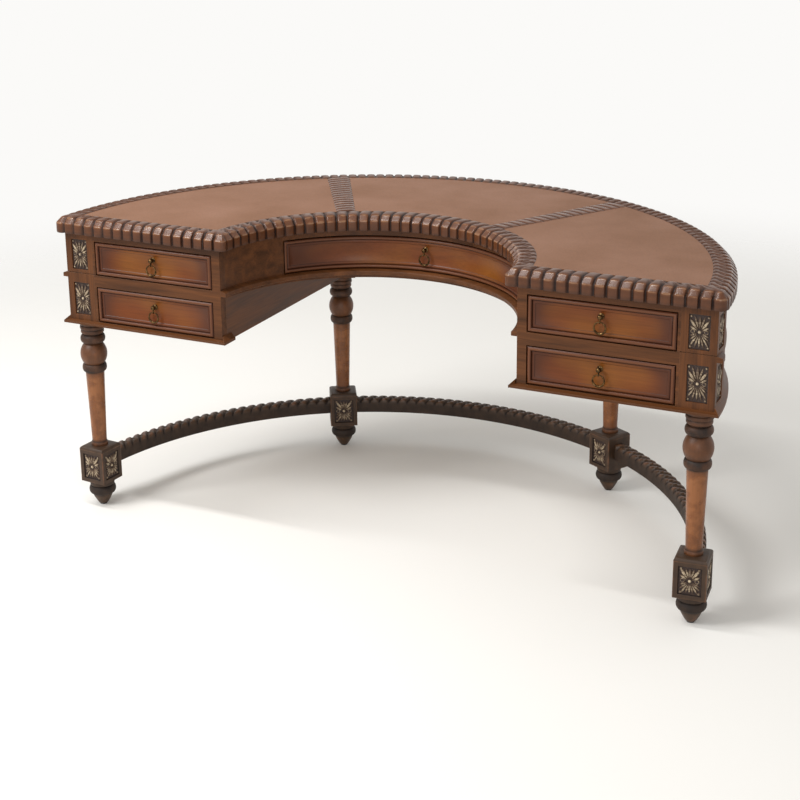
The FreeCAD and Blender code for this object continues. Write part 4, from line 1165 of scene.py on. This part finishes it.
class DESK_OT_pulls(bpy.types.Operator):
    """Brass knobs with their eyes, and the rings that hang in them"""
    bl_idname = "desk.pulls"
    bl_label = "Ring pulls"

    def execute(self, context):
        brass = aged_brass(context.scene.desk_colours)
        for place in DRAWERS:
            low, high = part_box(place + "_pull_ring")
            middle = (low + high) / 2
            knob = pull_knob(middle + Vector((0, 0, KNOB_ABOVE)))
            ring = pull_ring(context.scene.desk_sizes.ring_wire / 2)
            bmesh.ops.translate(ring, verts=ring.verts, vec=middle)
            for name, bm, body, node in (
                    ("_knob", knob, "_drawer", "_pull_knob"), ("_ring_pull", ring, "_ring", "_pull_ring")):
                bmesh.ops.recalc_face_normals(bm, faces=bm.faces)
                add_piece(place + name, bm, place + body, brass, "antique_brass", place + node)
        return {"FINISHED"}


class DESK_OT_frame_finishes(bpy.types.Operator):
    """Woods, leather and metal on the nodes that keep their CAD shape"""
    bl_idname = "desk.frame_finishes"
    bl_label = "Frame finishes"

    def execute(self, context):
        colours = context.scene.desk_colours
        around = case_cherry(context, "arc")
        poplar = planed_poplar(colours, "deep")
        # Finishes by a part of the node's name; any other node has the case's bent veneer.
        finishes = {
            "leather": hide_leather(colours), "leg_bolts": plated_steel(), "glides": moulded_nylon(),
            "dust_panel": poplar, "bottom_board": poplar, "drawer_runners": poplar, "drawer_box": poplar,
            "inner_wall": case_cherry(context, "deep"), "face_frame": case_cherry(context, "along"),
            "back_posts": case_cherry(context, "upright")}
        for name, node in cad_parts.items():
            if not node.hide_render:
                finish = next((finishes[part] for part in finishes if part in name), around)
                node.data.materials.clear()
                node.data.materials.append(finish)
        return {"FINISHED"}


# Stage

# Studio lamps: place, aim, width, depth and watts.
LAMPS = {
    "key": ((-2.2, -2.8, 3.2), (0, -0.1, 0.4), 1.5, 1.5, 100),
    "fill": ((1.6, -4.2, 1.4), (0.1, 0, 0.45), 1.6, 1.2, 26),
    "strip": ((-1.15, -1.0, 3.1), (-1.15, -0.2, 0.7), 2.4, 0.16, 42)}
# The camera: its place, its turns in radians, its lens in millimetres and its upward shift.
CAMERA_PLACE = (1.55513, -3.47913, 1.69787)
CAMERA_YAW, CAMERA_PITCH, CAMERA_ROLL = 0.44193, 0.28185, -0.00985
CAMERA_LENS, CAMERA_SHIFT = 71.787, -0.15


def studio_world():
    """White to the eye and in reflections, and dimmer as a light on the desk."""
    world = bpy.data.worlds.new("Studio")
    world.use_nodes = True
    tree = world.node_tree
    tree.nodes.clear()
    path = add(tree, "LightPath").node.outputs
    seen = add(tree, "Math", {0: path["Is Camera Ray"], 1: path["Is Glossy Ray"]}, operation="MAXIMUM")
    level = add(tree, "MapRange", {"Value": seen, "To Min": 0.66, "To Max": 1.0})
    shade = add(tree, "Background", {"Color": rgba(linear("fbfaf8")), "Strength": level})
    add(tree, "OutputWorld", {"Surface": shade})
    return world


class DESK_OT_stage(bpy.types.Operator):
    """Pale floor, soft studio lamps and the camera"""
    bl_idname = "desk.stage"
    bl_label = "Stage"

    def execute(self, context):
        scene = context.scene
        scene.view_settings.view_transform = "Standard"
        scene.world = studio_world()
        bm = bmesh.new()
        bmesh.ops.create_circle(bm, cap_ends=True, segments=64, radius=6)
        mesh = bpy.data.meshes.new("floor")
        bm.to_mesh(mesh)
        bm.free()
        mesh.materials.append(studio_floor(scene.desk_colours))
        floor = bpy.data.objects.new("floor", mesh)
        scene.collection.objects.link(floor)

        for name, (spot, aim, wide, deep, watts) in LAMPS.items():
            data = bpy.data.lights.new(name, "AREA")
            data.shape, data.size, data.size_y, data.energy = "RECTANGLE", wide, deep, watts
            lamp = bpy.data.objects.new(name, data)
            lamp.location = spot
            lamp.rotation_euler = (Vector(aim) - Vector(spot)).to_track_quat("-Z", "Y").to_euler()
            scene.collection.objects.link(lamp)

        data = bpy.data.cameras.new("camera")
        data.lens, data.shift_x, data.shift_y = CAMERA_LENS, 0.0, CAMERA_SHIFT
        camera = bpy.data.objects.new("camera", data)
        camera.matrix_world = (
            Matrix.Translation(CAMERA_PLACE) @ Matrix.Rotation(CAMERA_YAW, 4, "Z")
            @ Matrix.Rotation(math.pi / 2 - CAMERA_PITCH, 4, "X") @ Matrix.Rotation(CAMERA_ROLL, 4, "Z"))
        scene.collection.objects.link(camera)
        scene.camera = camera
        return {"FINISHED"}


OPERATORS = (
    DESK_OT_carved_edges, DESK_OT_dividers, DESK_OT_legs, DESK_OT_stretchers, DESK_OT_posts,
    DESK_OT_mid_moulding, DESK_OT_rosettes, DESK_OT_drawer_fronts, DESK_OT_pulls, DESK_OT_frame_finishes,
    DESK_OT_stage)


class DESK_PT_panel(bpy.types.Panel):
    """Sizes, colours and steps of the desk"""
    bl_idname = "DESK_PT_panel"
    bl_label = "Captain's desk"
    bl_space_type = "VIEW_3D"
    bl_region_type = "UI"
    bl_category = "Desk"

    def draw(self, context):
        layout = self.layout
        for group in (context.scene.desk_sizes, context.scene.desk_colours):
            box = layout.box()
            for name in group.bl_rna.properties.keys():
                if name not in ("rna_type", "name"):
                    box.prop(group, name)
        for operator in OPERATORS:
            layout.operator(operator.bl_idname)


CLASSES = (DeskSizes, DeskColours, *OPERATORS, DESK_PT_panel)


def register():
    for item in CLASSES:
        bpy.utils.register_class(item)
    bpy.types.Scene.desk_sizes = PointerProperty(type=DeskSizes)
    bpy.types.Scene.desk_colours = PointerProperty(type=DeskColours)


def unregister():
    del bpy.types.Scene.desk_colours
    del bpy.types.Scene.desk_sizes
    for item in reversed(CLASSES):
        bpy.utils.unregister_class(item)


def main():
    register()
    bpy.ops.desk.carved_edges()
    bpy.ops.desk.dividers()
    bpy.ops.desk.legs()
    bpy.ops.desk.stretchers()
    bpy.ops.desk.posts()
    bpy.ops.desk.mid_moulding()
    bpy.ops.desk.rosettes()
    bpy.ops.desk.drawer_fronts()
    bpy.ops.desk.pulls()
    bpy.ops.desk.frame_finishes()
    bpy.ops.desk.stage()


if __name__ == "__main__":
    main()
